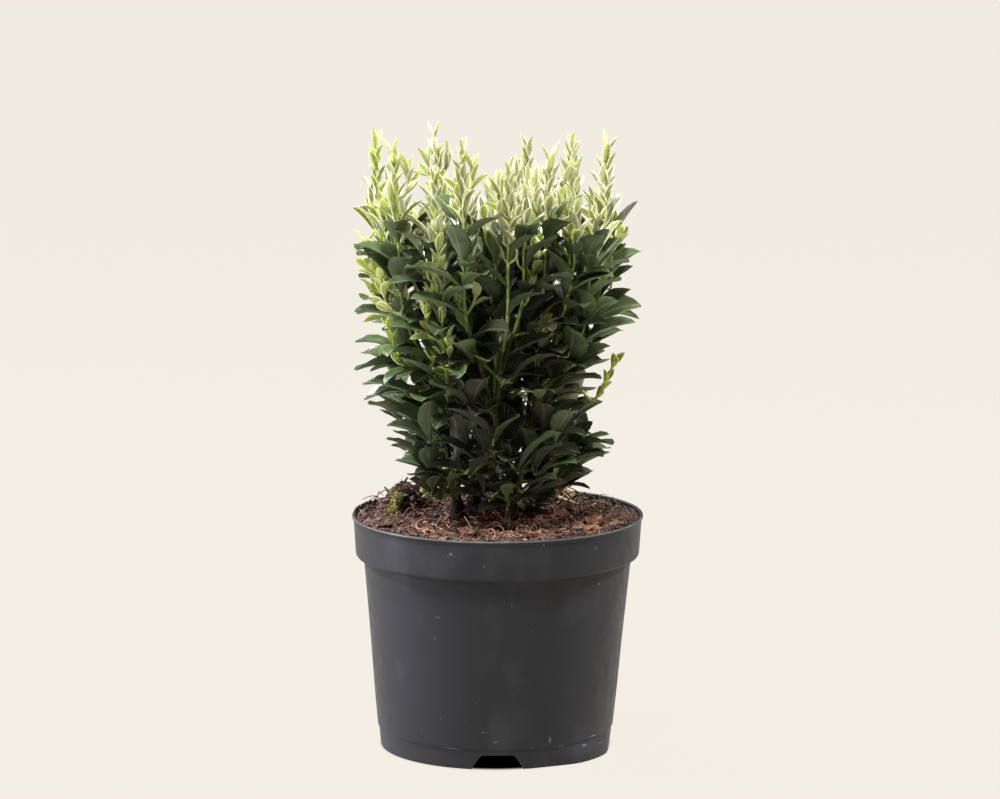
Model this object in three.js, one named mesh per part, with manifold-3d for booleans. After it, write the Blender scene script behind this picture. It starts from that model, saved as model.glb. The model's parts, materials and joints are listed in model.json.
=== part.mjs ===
// A young variegated evergreen spindle shrub in a three-litre nursery pot.
// Millimetres, +Z up. The origin is on the pot's axis, in the plane that the pot stands on,
// and -Y is the front.
import * as THREE from "three";
import { mergeVertices } from "three/addons/utils/BufferGeometryUtils.js";
import Module from "manifold-3d";

const wasm = await Module();
wasm.setup();
const { Manifold, Mesh: SolidMesh } = wasm;

// Driving dimensions of the pot.
const POT_HEIGHT = 153;
const RIM_RADIUS = 95;
const BAND_HEIGHT = 27;
const BAND_RADIUS = 92.4;
const WALL_TOP_RADIUS = 87.4;
const FOOT_RADIUS = 75;
const WALL = 1.5;
const LIP = 2.4;
const LEDGE_HEIGHT = 13;
const LEDGE_STEP = 0.7;
const FLOOR_HEIGHT = 10;
const NOTCH_COUNT = 3;
const NOTCH_WIDE = 34;
const NOTCH_NARROW = 21;
const NOTCH_HEIGHT = 9.6;
const POT_SIDES = 48;
const BAND_FOOT = POT_HEIGHT - BAND_HEIGHT;
const WALL_TOP = BAND_FOOT + 2.5;
const FLOOR_TOP = FLOOR_HEIGHT + WALL;

// Driving dimensions of the potting mix.
const SOIL_LEVEL = 150;
const SOIL_SIDES = 32;
const SOIL_RINGS = 5;
const CLEARANCE = 0.3;

// Driving dimensions of the plant.
const TOP = 406;
const REACH = 94.4;
const CROWN_X = -2;
const OUTER_CELLS = 8;
const INNER_CELLS = 3;
const OUTER_STEMS = 4;
const STEM_RING_RADIUS = 28;
const STEM_FOOT_RADIUS = 5.2;
const STEM_TIP_RADIUS = 3.6;
const STEM_SUNK = 3;
const FORK_ABOVE_SOIL = 17;
const ENTRY_ABOVE_SOIL = 40;
const BOUGH_RADIUS = 2.6;
const BOUGH_TIP_RADIUS = 2.1;
const CORE_AT_SOIL = 13;
const CORE_WIDENING = 0.1;
const CELL_MARGIN = 0.35;

// How the leaves change down a shoot, from its young tip to where they are fully grown.
const GROWN_BELOW = 105;
const YOUNG_GAP = 15;
const GROWN_GAP = 24;
const YOUNG_LEAF = 17;
const GROWN_LEAF = 41;
const YOUNG_ANGLE = 0.42;
const GROWN_ANGLE = 1.08;
const YOUNG_WIDTH_SHARE = 0.4;
const GROWN_WIDTH_SHARE = 0.58;
const TERMINAL_LEAF_RISE = 13;
const TWIG_SIDES = 3;
const SHOOT_TWIG_RADIUS = 1.6;
const LOW_TWIG_RADIUS = 1.3;
const LEAST_TWIG_RADIUS = 0.95;
const SEED = 2435;

// How the shoots of a mass part from its leader, and how high the ordinary ones reach.
const FIRST_PARTING = 4;
const PARTING_SPREAD = 52;
const PARTING_BEND = 62;
const LEAST_DROP = 32;
const DROP_SPREAD = 30;
const PATH_SPACING = 34;
const TWIG_STEP = 38;
const BARE_LEADER = 24;
const BARE_INNER = 45;

// The form of one leaf, as shares of its length unless it says otherwise.
const ROOT_OFF_AXIS = 0.3;
const WIDEST_AT = 0.52;
const KEEL_AT = 0.3;
const DROOP = 0.1;
const CUP_OF_HALF_WIDTH = 0.3;
const LEAF_THICKNESS = 0.022;
const LEAST_LEAF_THICKNESS = 0.8;
const LEAF_OFF_LIMB = 2.2;
const LEAF_OFF_SOIL = 2.5;

// Short edges of the fused foliage are closed up, and points this near to each other count as one.
const WELD = 0.04;
const NEARLY_TOUCHING = 1e-3;
const TWIST_STEP = 0.03;

const FULL_TURN = 2 * Math.PI;
const UP = new THREE.Vector3(0, 0, 1);

// Plain number helpers.
const mix = (a, b, share) => a + (b - a) * share;
const clamp01 = (value) => Math.min(1, Math.max(0, value));
const ease = (value) => {
  const share = clamp01(value);
  return share * share * (3 - 2 * share);
};

// A seeded source of numbers from 0 to 1, the same on every run.
function numbersFrom(seed) {
  let state = seed >>> 0;
  return () => {
    state = (state + 0x6d2b79f5) >>> 0;
    let word = state;
    word = Math.imul(word ^ (word >>> 15), word | 1);
    word ^= word + Math.imul(word ^ (word >>> 7), word | 61);
    return ((word ^ (word >>> 14)) >>> 0) / 4294967296;
  };
}

// The value at x of a curve through [x, y] pairs, with straight runs between them.
function along(table, x) {
  if (x <= table[0][0]) return table[0][1];
  for (let i = 1; i < table.length; i++) {
    const [x0, y0] = table[i - 1];
    const [x1, y1] = table[i];
    if (x <= x1) return mix(y0, y1, (x - x0) / (x1 - x0));
  }
  return table[table.length - 1][1];
}

// A closed three.js geometry as a solid that can be cut and joined.
function solidOf(geometry) {
  const bare = geometry.index ? geometry.toNonIndexed() : geometry.clone();
  bare.deleteAttribute("normal");
  bare.deleteAttribute("uv");
  const merged = mergeVertices(bare, 1e-3);
  return new Manifold(
    new SolidMesh({
      numProp: 3,
      vertProperties: new Float32Array(merged.attributes.position.array),
      triVerts: new Uint32Array(merged.index.array),
    }),
  );
}

// The largest piece of a solid, as a three.js geometry: scraps are dropped and sealed hollows filled.
function geometryOf(solid) {
  const pieces = solid.decompose();
  const largest = pieces.reduce((a, b) => (b.volume() > a.volume() ? b : a));
  const mesh = largest.getMesh();
  const positions = new Float32Array(mesh.numVert * 3);
  for (let i = 0; i < mesh.numVert; i++) {
    const start = i * mesh.numProp;
    positions.set(mesh.vertProperties.subarray(start, start + 3), i * 3);
  }
  const geometry = new THREE.BufferGeometry();
  geometry.setAttribute("position", new THREE.BufferAttribute(positions, 3));
  geometry.setIndex(new THREE.BufferAttribute(new Uint32Array(mesh.triVerts), 1));
  geometry.computeVertexNormals();
  return geometry;
}

// Whether a mesh is still closed once the points that nearly touch are joined.
function staysClosed(geometry) {
  const bare = geometry.toNonIndexed();
  bare.deleteAttribute("normal");
  const { index } = mergeVertices(bare, NEARLY_TOUCHING);
  const edges = new Map();
  for (let first = 0; first < index.count; first += 3) {
    const corners = [0, 1, 2].map((i) => index.getX(first + i));
    if (new Set(corners).size < 3) continue;
    corners.forEach((corner, i) => {
      const edge = [corner, corners[(i + 1) % 3]].sort().join();
      edges.set(edge, (edges.get(edge) ?? 0) + 1);
    });
  }
  return [...edges.values()].every((faces) => faces === 2);
}

// A solid of revolution about Z from [radius, height] pairs that run round the section.
function turned(profile, sides) {
  const points = profile.map(([radius, height]) => new THREE.Vector2(radius, height));
  const geometry = new THREE.LatheGeometry(points, sides);
  geometry.rotateX(Math.PI / 2);
  return geometry;
}

// The outside radius of the pot's tapering wall at a height.
const wallAt = (height) => mix(FOOT_RADIUS, WALL_TOP_RADIUS, height / WALL_TOP);

// The pot's inside from its floor up to its lip, as [radius, height] pairs.
const POT_INSIDE = [
  [wallAt(FLOOR_TOP) - WALL, FLOOR_TOP],
  [WALL_TOP_RADIUS - WALL, WALL_TOP + WALL],
  [BAND_RADIUS - WALL + 0.6, WALL_TOP + WALL + 0.5],
  [RIM_RADIUS - LIP, POT_HEIGHT],
];

// The pot's wall, band, lip and raised floor, with no drain notches.
function potBody() {
  const profile = [
    [0, FLOOR_HEIGHT],
    [wallAt(FLOOR_HEIGHT) - WALL - LEDGE_STEP, FLOOR_HEIGHT],
    [FOOT_RADIUS - WALL - LEDGE_STEP, 0],
    [FOOT_RADIUS - LEDGE_STEP, 0],
    [wallAt(LEDGE_HEIGHT) - LEDGE_STEP, LEDGE_HEIGHT],
    [wallAt(LEDGE_HEIGHT + LEDGE_STEP), LEDGE_HEIGHT + LEDGE_STEP],
    [WALL_TOP_RADIUS, WALL_TOP],
    [BAND_RADIUS - 0.9, BAND_FOOT + 0.4],
    [BAND_RADIUS, BAND_FOOT + 1.8],
    [RIM_RADIUS - 1, POT_HEIGHT - LIP],
    [RIM_RADIUS, POT_HEIGHT - LIP + 0.8],
    [RIM_RADIUS, POT_HEIGHT - 0.6],
    [RIM_RADIUS - 0.6, POT_HEIGHT],
    ...POT_INSIDE.toReversed(),
    [0, FLOOR_TOP],
  ];
  return solidOf(turned(profile, POT_SIDES));
}

// A wedge-shaped cutter for one drain notch, through the foot ring at the given angle.
function notchCutter(angle) {
  const outline = new THREE.Shape();
  outline.moveTo(-NOTCH_WIDE / 2, -1);
  outline.lineTo(NOTCH_WIDE / 2, -1);
  outline.lineTo(NOTCH_NARROW / 2, NOTCH_HEIGHT);
  outline.lineTo(-NOTCH_NARROW / 2, NOTCH_HEIGHT);
  outline.closePath();
  const depth = 14;
  const geometry = new THREE.ExtrudeGeometry(outline, { depth, bevelEnabled: false });
  geometry.rotateX(Math.PI / 2);
  geometry.translate(0, -FOOT_RADIUS + depth / 2 + 4, 0);
  geometry.rotateZ(angle);
  return solidOf(geometry);
}

// The knocked corner of the foot, low on the right.
function footChip() {
  const size = 24;
  const depth = 3.6;
  const geometry = new THREE.BoxGeometry(size, 34, size);
  geometry.rotateY(THREE.MathUtils.degToRad(24));
  geometry.translate(FOOT_RADIUS + size / 2 - depth, -5, 0);
  return solidOf(geometry);
}

function potGeometry() {
  const notches = Array.from({ length: NOTCH_COUNT }, (_, i) =>
    notchCutter((i * FULL_TURN) / NOTCH_COUNT),
  );
  return geometryOf(Manifold.difference([potBody(), ...notches]).subtract(footChip()));
}

// The height of the mix at a place: a coarse heap with a clod near the left edge.
function soilTop(x, y) {
  const radius = Math.hypot(x, y);
  const ripple =
    0.9 * Math.sin(x * 0.13 + 1.3) * Math.cos(y * 0.16 - 0.4) +
    0.6 * Math.sin(x * 0.31 - y * 0.27 + 2.1);
  const heap = 2.6 * ease(1 - radius / 62);
  const clod = 6.5 * ease(1 - Math.hypot(x + 65, y - 27) / 19);
  const atWall = ease((RIM_RADIUS - 4 - radius) / 14);
  return SOIL_LEVEL - 0.6 + atWall * (ripple + heap) + clod * ease((88 - radius) / 6);
}

// The mix fills the pot: a turned plug whose top follows soilTop, just clear of the pot's facets.
function soilBody() {
  const gap = CLEARANCE + 0.25;
  const [floor, wallTop, bandFoot, lip] = POT_INSIDE;
  const topRadius = mix(bandFoot[0], lip[0], 0.84) - gap;
  const bottom = floor[1] + gap;
  const rings = [
    [floor[0] - gap, bottom],
    [wallTop[0] - gap, wallTop[1] + gap],
    [bandFoot[0] - gap, bandFoot[1] + gap],
  ];
  const positions = [0, 0, bottom];
  const ringPoint = (radius, height, side) => {
    const angle = (side * FULL_TURN) / SOIL_SIDES;
    const x = radius * Math.cos(angle);
    const y = radius * Math.sin(angle);
    positions.push(x, y, height ?? soilTop(x, y));
  };
  for (let ring = SOIL_RINGS; ring > 0; ring--) {
    rings.push([(topRadius * ring) / SOIL_RINGS, null]);
  }
  for (const [radius, height] of rings) {
    for (let side = 0; side < SOIL_SIDES; side++) ringPoint(radius, height, side);
  }
  positions.push(0, 0, soilTop(0, 0));
  const last = positions.length / 3 - 1;
  const index = [];
  const vertex = (ring, side) => 1 + ring * SOIL_SIDES + (side % SOIL_SIDES);
  for (let side = 0; side < SOIL_SIDES; side++) {
    index.push(0, vertex(0, side + 1), vertex(0, side));
    for (let ring = 0; ring < rings.length - 1; ring++) {
      const a = vertex(ring, side);
      const b = vertex(ring, side + 1);
      const c = vertex(ring + 1, side + 1);
      const d = vertex(ring + 1, side);
      index.push(a, b, c, a, c, d);
    }
    index.push(vertex(rings.length - 1, side), vertex(rings.length - 1, side + 1), last);
  }
  const geometry = new THREE.BufferGeometry();
  geometry.setAttribute("position", new THREE.Float32BufferAttribute(positions, 3));
  geometry.setIndex(index);
  return solidOf(geometry);
}

// A tapering limb along a smooth path: its radius goes from first to last, with an optional flare.
function limbGeometry(path, firstRadius, lastRadius, { sides, steps, flare = 0, grow = 0 }) {
  const curve = path.length === 2 ? new THREE.LineCurve3(...path) : new THREE.CatmullRomCurve3(path);
  const frames = curve.computeFrenetFrames(steps, false);
  const positions = [];
  for (let step = 0; step <= steps; step++) {
    const share = step / steps;
    const centre = curve.getPoint(share);
    if (step === 0) centre.addScaledVector(frames.tangents[0], -grow);
    if (step === steps) centre.addScaledVector(frames.tangents[steps], grow);
    const radius = mix(firstRadius, lastRadius, share) + flare * (1 - share) ** 4 + grow;
    for (let side = 0; side < sides; side++) {
      const angle = (side * FULL_TURN) / sides;
      const point = centre
        .clone()
        .addScaledVector(frames.normals[step], radius * Math.cos(angle))
        .addScaledVector(frames.binormals[step], radius * Math.sin(angle));
      positions.push(point.x, point.y, point.z);
    }
  }
  const index = [];
  const vertex = (ring, side) => ring * sides + (side % sides);
  for (let side = 0; side < sides; side++) {
    for (let ring = 0; ring < steps; ring++) {
      const a = vertex(ring, side);
      const b = vertex(ring, side + 1);
      const c = vertex(ring + 1, side + 1);
      const d = vertex(ring + 1, side);
      index.push(a, b, c, a, c, d);
    }
    if (side > 0 && side < sides - 1) {
      index.push(0, side + 1, side);
      index.push(vertex(steps, 0), vertex(steps, side), vertex(steps, side + 1));
    }
  }
  const geometry = new THREE.BufferGeometry();
  geometry.setAttribute("position", new THREE.Float32BufferAttribute(positions, 3));
  geometry.setIndex(index);
  return geometry;
}

const limbSolid = (path, first, last, options) => solidOf(limbGeometry(path, first, last, options));

// The crown's plan at each height: how far out the shoots stand from its middle line.
const SHOOT_RADIUS = [
  [SOIL_LEVEL, 36],
  [SOIL_LEVEL + 45, 46],
  [SOIL_LEVEL + 90, 62],
  [SOIL_LEVEL + 150, 71],
  [SOIL_LEVEL + 200, 75],
  [TOP, 78],
];

// How far out any leaf may reach at each height.
const LEAF_REACH = [
  [SOIL_LEVEL, 52],
  [SOIL_LEVEL + 20, 64],
  [SOIL_LEVEL + 60, 75],
  [SOIL_LEVEL + 80, 90],
  [SOIL_LEVEL + 140, 99],
  [SOIL_LEVEL + 200, 95],
  [TOP, 88],
];

// Where each mass's shoots stand, as shares of the way out and across its wedge. The leader is first.
// A third number is the height of a spire that stands clear against the sky.
const SHOOT_PLACES = {
  outer_1: [[0.3, 0.05], [0.98, -0.72, 406], [0.95, 0.36, 394], [0.8, 0.85]],
  outer_2: [[0.3, 0.05], [0.55, -0.5, 399], [1, 0.62], [0.85, 0.1]],
  outer_3: [[0.3, 0.05], [0.98, -0.66], [1, 0.6], [0.84, -0.02, 400]],
  outer_4: [[0.3, 0.05], [0.98, -0.66], [1, 0.6], [0.84, 0, 397]],
  outer_5: [[0.3, 0.05], [0.98, -0.78, 391], [1, 0.6], [0.82, -0.02]],
  outer_6: [[0.3, 0.05], [0.98, -0.66], [1, 0.6], [0.5, -0.25, 401]],
  outer_7: [[0.3, 0.05], [0.85, -0.7], [1, 0.1, 402], [0.8, 0.8]],
  outer_8: [[0.3, 0.05], [1, -0.5, 402], [1, 0.7], [0.55, 0.35]],
  inner_1: [[0.5, 0], [0.95, -0.55], [0.9, 0.6]],
  inner_2: [[0.5, 0], [0.95, -0.55], [0.9, 0.6]],
  inner_3: [[0.5, 0], [0.95, -0.55], [0.9, 0.6]],
};

// Half the width of the core that the inner masses share, at each height.
const coreAt = (height) => CORE_AT_SOIL + CORE_WIDENING * Math.max(0, height - SOIL_LEVEL);

// The masses of foliage: eight round the outside and three in the core, each with its own wedge.
function makeCells() {
  const cells = [];
  for (let i = 0; i < OUTER_CELLS; i++) {
    cells.push({
      name: `outer_${i + 1}`,
      outer: true,
      order: i,
      angle: -Math.PI / 2 + (i * FULL_TURN) / OUTER_CELLS,
      halfAngle: Math.PI / OUTER_CELLS,
    });
  }
  for (let i = 0; i < INNER_CELLS; i++) {
    cells.push({
      name: `inner_${i + 1}`,
      outer: false,
      order: OUTER_CELLS + i,
      angle: -Math.PI / 2 + 0.26 + (i * FULL_TURN) / INNER_CELLS,
      halfAngle: Math.PI / INNER_CELLS,
    });
  }
  return cells;
}

// The distance by which a point is inside its mass's own wedge, negative outside it.
function insideCell(cell, point) {
  const x = point.x - CROWN_X;
  const y = point.y;
  const out = x * Math.cos(cell.angle) + y * Math.sin(cell.angle);
  const across = -x * Math.sin(cell.angle) + y * Math.cos(cell.angle);
  const side = out * Math.sin(cell.halfAngle) - Math.abs(across) * Math.cos(cell.halfAngle);
  const core = coreAt(point.z);
  if (cell.outer) return Math.min(side, out - core);
  let toCore = Infinity;
  for (let i = 0; i < OUTER_CELLS; i++) {
    const angle = -Math.PI / 2 + (i * FULL_TURN) / OUTER_CELLS;
    toCore = Math.min(toCore, core - x * Math.cos(angle) - y * Math.sin(angle));
  }
  return Math.min(side, toCore);
}

// Where a shoot with shares (out, across) of its wedge stands at a height.
function shootPoint(cell, out, across, height) {
  const core = coreAt(height);
  let radius;
  let offset;
  if (cell.outer) {
    const near = core + 7;
    radius = mix(near, along(SHOOT_RADIUS, height), out) * (1 - 0.06 * across * across);
    offset = across * (radius * Math.tan(cell.halfAngle) - 3);
  } else {
    radius = mix(5, core - 3, out);
    offset = across * radius * 0.8;
  }
  const x = CROWN_X + radius * Math.cos(cell.angle) - offset * Math.sin(cell.angle);
  const y = radius * Math.sin(cell.angle) + offset * Math.cos(cell.angle);
  return new THREE.Vector3(x, y, height);
}

// The shoots of a mass: the leader first, then those that part from it.
function shootsOf(cell) {
  const next = numbersFrom(SEED + 101 * cell.order);
  return SHOOT_PLACES[cell.name].map(([out, across, spire], order) => {
    const play = spire ? 0.02 : 0.08;
    const shoot = {
      out: Math.min(1, out + play * (2 * next() - 1)),
      across: across + 1.5 * play * (2 * next() - 1),
      parts: SOIL_LEVEL + ENTRY_ABOVE_SOIL + FIRST_PARTING + PARTING_SPREAD * next(),
      top: TOP - LEAST_DROP - DROP_SPREAD * next(),
      turn: next() * FULL_TURN,
      seed: SEED + 1009 * (cell.order + 1) + 31 * order,
      leads: order === 0,
    };
    if (spire) shoot.top = spire - TERMINAL_LEAF_RISE;
    if (shoot.leads) shoot.parts = SOIL_LEVEL + ENTRY_ABOVE_SOIL;
    return shoot;
  });
}

// The path of a shoot, from where it parts from the leader to its tip.
function shootPath(cell, leader, shoot) {
  const length = shoot.top - shoot.parts;
  const count = Math.max(3, Math.round(length / PATH_SPACING));
  return Array.from({ length: count + 1 }, (_, i) => {
    const height = shoot.parts + (length * i) / count;
    const own = shootPoint(cell, shoot.out, shoot.across, height);
    const share = shoot.leads ? 1 : ease((height - shoot.parts) / PARTING_BEND);
    return own.lerp(shootPoint(cell, leader.out, leader.across, height), 1 - share);
  });
}

// Two unit vectors square to a direction, the first of them level.
function squareTo(direction) {
  const level = new THREE.Vector3().crossVectors(UP, direction);
  if (level.length() < 0.05) level.set(1, 0, 0).addScaledVector(direction, -direction.x);
  level.normalize();
  return [level, new THREE.Vector3().crossVectors(direction, level).normalize()];
}

// A leaf as a thin solid folded along its midrib, with a keel below and its root near its twig's axis.
function leafGeometry(base, direction, face, length, age) {
  const side = new THREE.Vector3().crossVectors(direction, face).normalize();
  const halfWidth = (length * mix(YOUNG_WIDTH_SHARE, GROWN_WIDTH_SHARE, age)) / 2;
  const thickness = Math.max(LEAST_LEAF_THICKNESS, LEAF_THICKNESS * length);
  const at = (forward, sideways, lift) =>
    base
      .clone()
      .addScaledVector(direction, forward)
      .addScaledVector(side, sideways)
      .addScaledVector(face, lift);
  const cup = CUP_OF_HALF_WIDTH * halfWidth;
  const widest = WIDEST_AT * length;
  const droop = DROOP * age * length;
  const points = [
    at(ROOT_OFF_AXIS, 0, 0),
    at(widest, halfWidth, cup),
    at(length, 0, -droop),
    at(widest, -halfWidth, cup),
    at(KEEL_AT * length, 0, -KEEL_AT * droop - thickness),
  ];
  const geometry = new THREE.BufferGeometry();
  const numbers = points.flatMap((point) => point.toArray());
  geometry.setAttribute("position", new THREE.Float32BufferAttribute(numbers, 3));
  geometry.setIndex([0, 1, 2, 0, 2, 3, 1, 0, 4, 2, 1, 4, 3, 2, 4, 0, 3, 4]);
  return { geometry, points };
}

// Whether every point of a leaf or twig stays in its mass's space and clear of the limbs.
function fits(cell, points, limbs) {
  return points.every((point) => {
    if (insideCell(cell, point) < CELL_MARGIN) return false;
    if (Math.abs(point.x) > REACH || Math.abs(point.y) > REACH) return false;
    if (point.z > TOP || point.z < soilTop(point.x, point.y) + LEAF_OFF_SOIL) return false;
    if (Math.hypot(point.x - CROWN_X, point.y) > along(LEAF_REACH, point.z)) return false;
    return true;
  }) && limbs.every((limb) => clearOf(limb, points));
}

// Whether a leaf's points, and the middles between them, are well clear of a limb.
function clearOf(limb, points) {
  const root = points[0];
  return points.every((point) => {
    const middle = point.clone().lerp(root, 0.5);
    return limb.line.every((centre) => {
      const apart = limb.radius + LEAF_OFF_LIMB;
      return centre.distanceTo(point) > apart && centre.distanceTo(middle) > apart;
    });
  });
}

// Whether a solid meets any of those that are there already.
function meets(solid, others) {
  const { min, max } = solid.boundingBox();
  const near = ({ box }) =>
    [0, 1, 2].every((axis) => box.min[axis] < max[axis] && box.max[axis] > min[axis]);
  return others.some((other) => near(other) && !solid.intersect(other.solid).isEmpty());
}

// The turns and sizes at which a leaf is tried, in order.
const LEAF_TRIES = [[0, 1], [0.4, 1], [-0.4, 1], [0.8, 0.92], [-0.8, 0.92], [0, 0.78]];

// A leaf at a node, turned a little at a time until it fits in its mass, or null if it never does.
function placeLeaf(cell, node, limbs, others) {
  const { base, stem, azimuth, angle, length, age } = node;
  const [level, upright] = squareTo(stem);
  for (const [turn, share] of LEAF_TRIES) {
    const out = level
      .clone()
      .multiplyScalar(Math.cos(azimuth + turn))
      .addScaledVector(upright, Math.sin(azimuth + turn));
    const direction = stem
      .clone()
      .multiplyScalar(Math.cos(angle))
      .addScaledVector(out, Math.sin(angle))
      .normalize();
    const face = stem.clone().addScaledVector(direction, -stem.dot(direction)).normalize();
    const { geometry, points } = leafGeometry(base, direction, face, length * share, age);
    if (!fits(cell, points.slice(1), limbs)) continue;
    const solid = solidOf(geometry);
    if (!meets(solid, others)) return { solid, box: solid.boundingBox() };
  }
  return null;
}

// The leaves of a twig in crossed pairs down from its tip, clear of the other twigs and leaves.
function leavesOf(cell, twig, limbs, others) {
  const next = numbersFrom(twig.seed);
  const length = twig.line.getLength();
  const leaves = [];
  let below = 2;
  let pair = 0;
  while (below < length - twig.bareBelow) {
    const base = twig.line.getPoint(1 - below / length);
    const stem = twig.line.getTangent(1 - below / length).normalize();
    const age = ease((below - 6) / GROWN_BELOW + twig.ageAtTip);
    for (const opposite of [0, Math.PI]) {
      const azimuth = twig.turn + pair * (Math.PI / 2) + opposite + 0.5 * (next() - 0.5);
      const angle = mix(YOUNG_ANGLE, GROWN_ANGLE, age) + 0.2 * (next() - 0.5);
      const size = mix(YOUNG_LEAF, GROWN_LEAF, age) * (0.9 + 0.22 * next());
      const node = { base, stem, azimuth, angle, length: size, age };
      if (next() < dropChance(node)) continue;
      const leaf = placeLeaf(cell, node, limbs, [...others, ...leaves]);
      if (leaf) leaves.push(leaf);
    }
    below += twig.gapShare * mix(YOUNG_GAP, GROWN_GAP, age) * (0.85 + 0.3 * next());
    pair += 1;
  }
  return leaves;
}

// How likely a leaf is to have dropped: those that face the shaded middle of the plant mostly have.
function dropChance({ base, stem, azimuth }) {
  const [level, upright] = squareTo(stem);
  const x = level.x * Math.cos(azimuth) + upright.x * Math.sin(azimuth);
  const y = level.y * Math.cos(azimuth) + upright.y * Math.sin(azimuth);
  const outward = (x * (base.x - CROWN_X) + y * base.y) / Math.hypot(base.x - CROWN_X, base.y);
  return outward < -0.1 ? 0.45 * ease((SOIL_LEVEL + 185 - base.z) / 60) : 0;
}

// The low side twigs of an outer mass: their lean to the side, their height and how much they rise.
const LOW_TWIGS = [
  { lean: -0.6, above: 3, rise: -11 },
  { lean: 0.6, above: 6, rise: -10 },
  { lean: 0, above: 16, rise: -2 },
  { lean: -0.5, above: 32, rise: 8 },
  { lean: 0.5, above: 46, rise: 10 },
];

// Short leafy side twigs low on the outside of a mass, reaching out over the pot.
function lowTwigs(cell, leader) {
  const next = numbersFrom(SEED + 577 * (cell.order + 1));
  return LOW_TWIGS.map(({ lean, above, rise }, order) => {
    const height = SOIL_LEVEL + ENTRY_ABOVE_SOIL + above + 4 * next();
    const start = shootPoint(cell, leader.out, leader.across, height);
    const heading = cell.angle + lean + 0.2 * (next() - 0.5);
    const reach = 20 + 6 * next();
    const end = start.clone();
    end.x += reach * Math.cos(heading);
    end.y += reach * Math.sin(heading);
    end.z += rise + 4 * next();
    const middle = start.clone().lerp(end, 0.5).add(new THREE.Vector3(0, 0, 2.5));
    return {
      path: [start, middle, end],
      firstRadius: LOW_TWIG_RADIUS,
      steps: 2,
      turn: 0.4 + 0.5 * next(),
      seed: SEED + 7919 * (cell.order + 1) + order,
      ageAtTip: 0.62,
      gapShare: 0.5,
      bareBelow: 6,
    };
  });
}

// Every twig of a mass: its shoots, and its low side twigs if it is on the outside.
function twigsOf(cell) {
  const shoots = shootsOf(cell);
  const upright = shoots.map((shoot) => ({
    ...shoot,
    path: shootPath(cell, shoots[0], shoot),
    firstRadius: shoot.leads ? BOUGH_TIP_RADIUS : SHOOT_TWIG_RADIUS,
    steps: Math.max(3, Math.round((shoot.top - shoot.parts) / TWIG_STEP)),
    ageAtTip: 0,
    gapShare: 1,
    bareBelow: cell.outer ? BARE_LEADER : BARE_INNER,
  }));
  return cell.outer ? [...upright, ...lowTwigs(cell, shoots[0])] : upright;
}

// One mass of foliage: its stem, its shoots and side twigs, and their leaves, fused together.
function foliageSolid(cell, limbs, twist) {
  const twigs = twigsOf(cell).filter((twig) => fits(cell, twig.path.slice(1), limbs));
  twigs[0].path[0].copy(cell.entry);
  for (const twig of twigs) {
    const curve = new THREE.CatmullRomCurve3(twig.path);
    const centres = curve.getPoints(twig.steps);
    twig.line = new THREE.CurvePath();
    centres.slice(1).forEach((centre, i) => twig.line.add(new THREE.LineCurve3(centres[i], centre)));
    twig.solid = limbSolid(twig.path, twig.firstRadius, LEAST_TWIG_RADIUS, {
      sides: TWIG_SIDES,
      steps: twig.steps,
    });
    twig.box = twig.solid.boundingBox();
  }
  const leaves = [];
  for (const twig of twigs) {
    const others = [...twigs.filter((other) => other !== twig), ...leaves];
    leaves.push(...leavesOf(cell, { ...twig, turn: twig.turn + twist }, limbs, others));
  }
  return Manifold.union([...twigs, ...leaves].map((piece) => piece.solid));
}

// A mass of foliage clear of the limbs, its leaves turned a little further if its mesh wouldn't close.
function foliageGeometry(cell, limbs, allLimbs) {
  for (let twist = 0; twist < 1; twist += TWIST_STEP) {
    const solid = foliageSolid(cell, limbs, twist).subtract(allLimbs).simplify(WELD);
    const geometry = geometryOf(solid);
    if (staysClosed(geometry)) return geometry;
  }
  throw new Error(`foliage_${cell.name} does not close`);
}

// The woody stems: one in the middle of the clump and four round it, each with a flared foot.
function makeStems() {
  const next = numbersFrom(SEED + 7);
  const stems = [];
  for (let i = 0; i < OUTER_STEMS; i++) {
    const angle = -Math.PI / 2 + (i + 0.25) * (FULL_TURN / OUTER_STEMS) + 0.3 * (next() - 0.5);
    stems.push({ name: `stem_${i + 1}`, angle, radius: STEM_RING_RADIUS + 4 * (next() - 0.5) });
  }
  stems.push({ name: `stem_${OUTER_STEMS + 1}`, angle: 0.4, radius: 2.5 });
  return stems.map((stem) => {
    const x = CROWN_X + stem.radius * Math.cos(stem.angle);
    const y = stem.radius * Math.sin(stem.angle);
    const ground = soilTop(x, y);
    const lean = 0.1 * stem.radius;
    const foot = new THREE.Vector3(x, y, ground - STEM_SUNK);
    const fork = new THREE.Vector3(
      x + lean * Math.cos(stem.angle),
      y + lean * Math.sin(stem.angle),
      ground + FORK_ABOVE_SOIL,
    );
    return { ...stem, foot, fork };
  });
}

// A stem's tube, optionally grown on all sides to cut a clearance round it.
function stemSolid(stem, grow = 0) {
  const path = [stem.foot, stem.foot.clone().lerp(stem.fork, 0.5), stem.fork];
  return limbSolid(path, STEM_FOOT_RADIUS, STEM_TIP_RADIUS, { sides: 8, steps: 4, flare: 2.2, grow });
}

// The bough of a mass: from its stem's fork to where it enters the foliage.
function boughPath(cell, stem, leader) {
  const entry = shootPoint(cell, leader.out, leader.across, SOIL_LEVEL + ENTRY_ABOVE_SOIL);
  const start = stem.fork.clone().add(new THREE.Vector3(0, 0, -4));
  const middle = start.clone().lerp(entry, 0.5).add(new THREE.Vector3(0, 0, 3));
  return [start, middle, entry];
}

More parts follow.
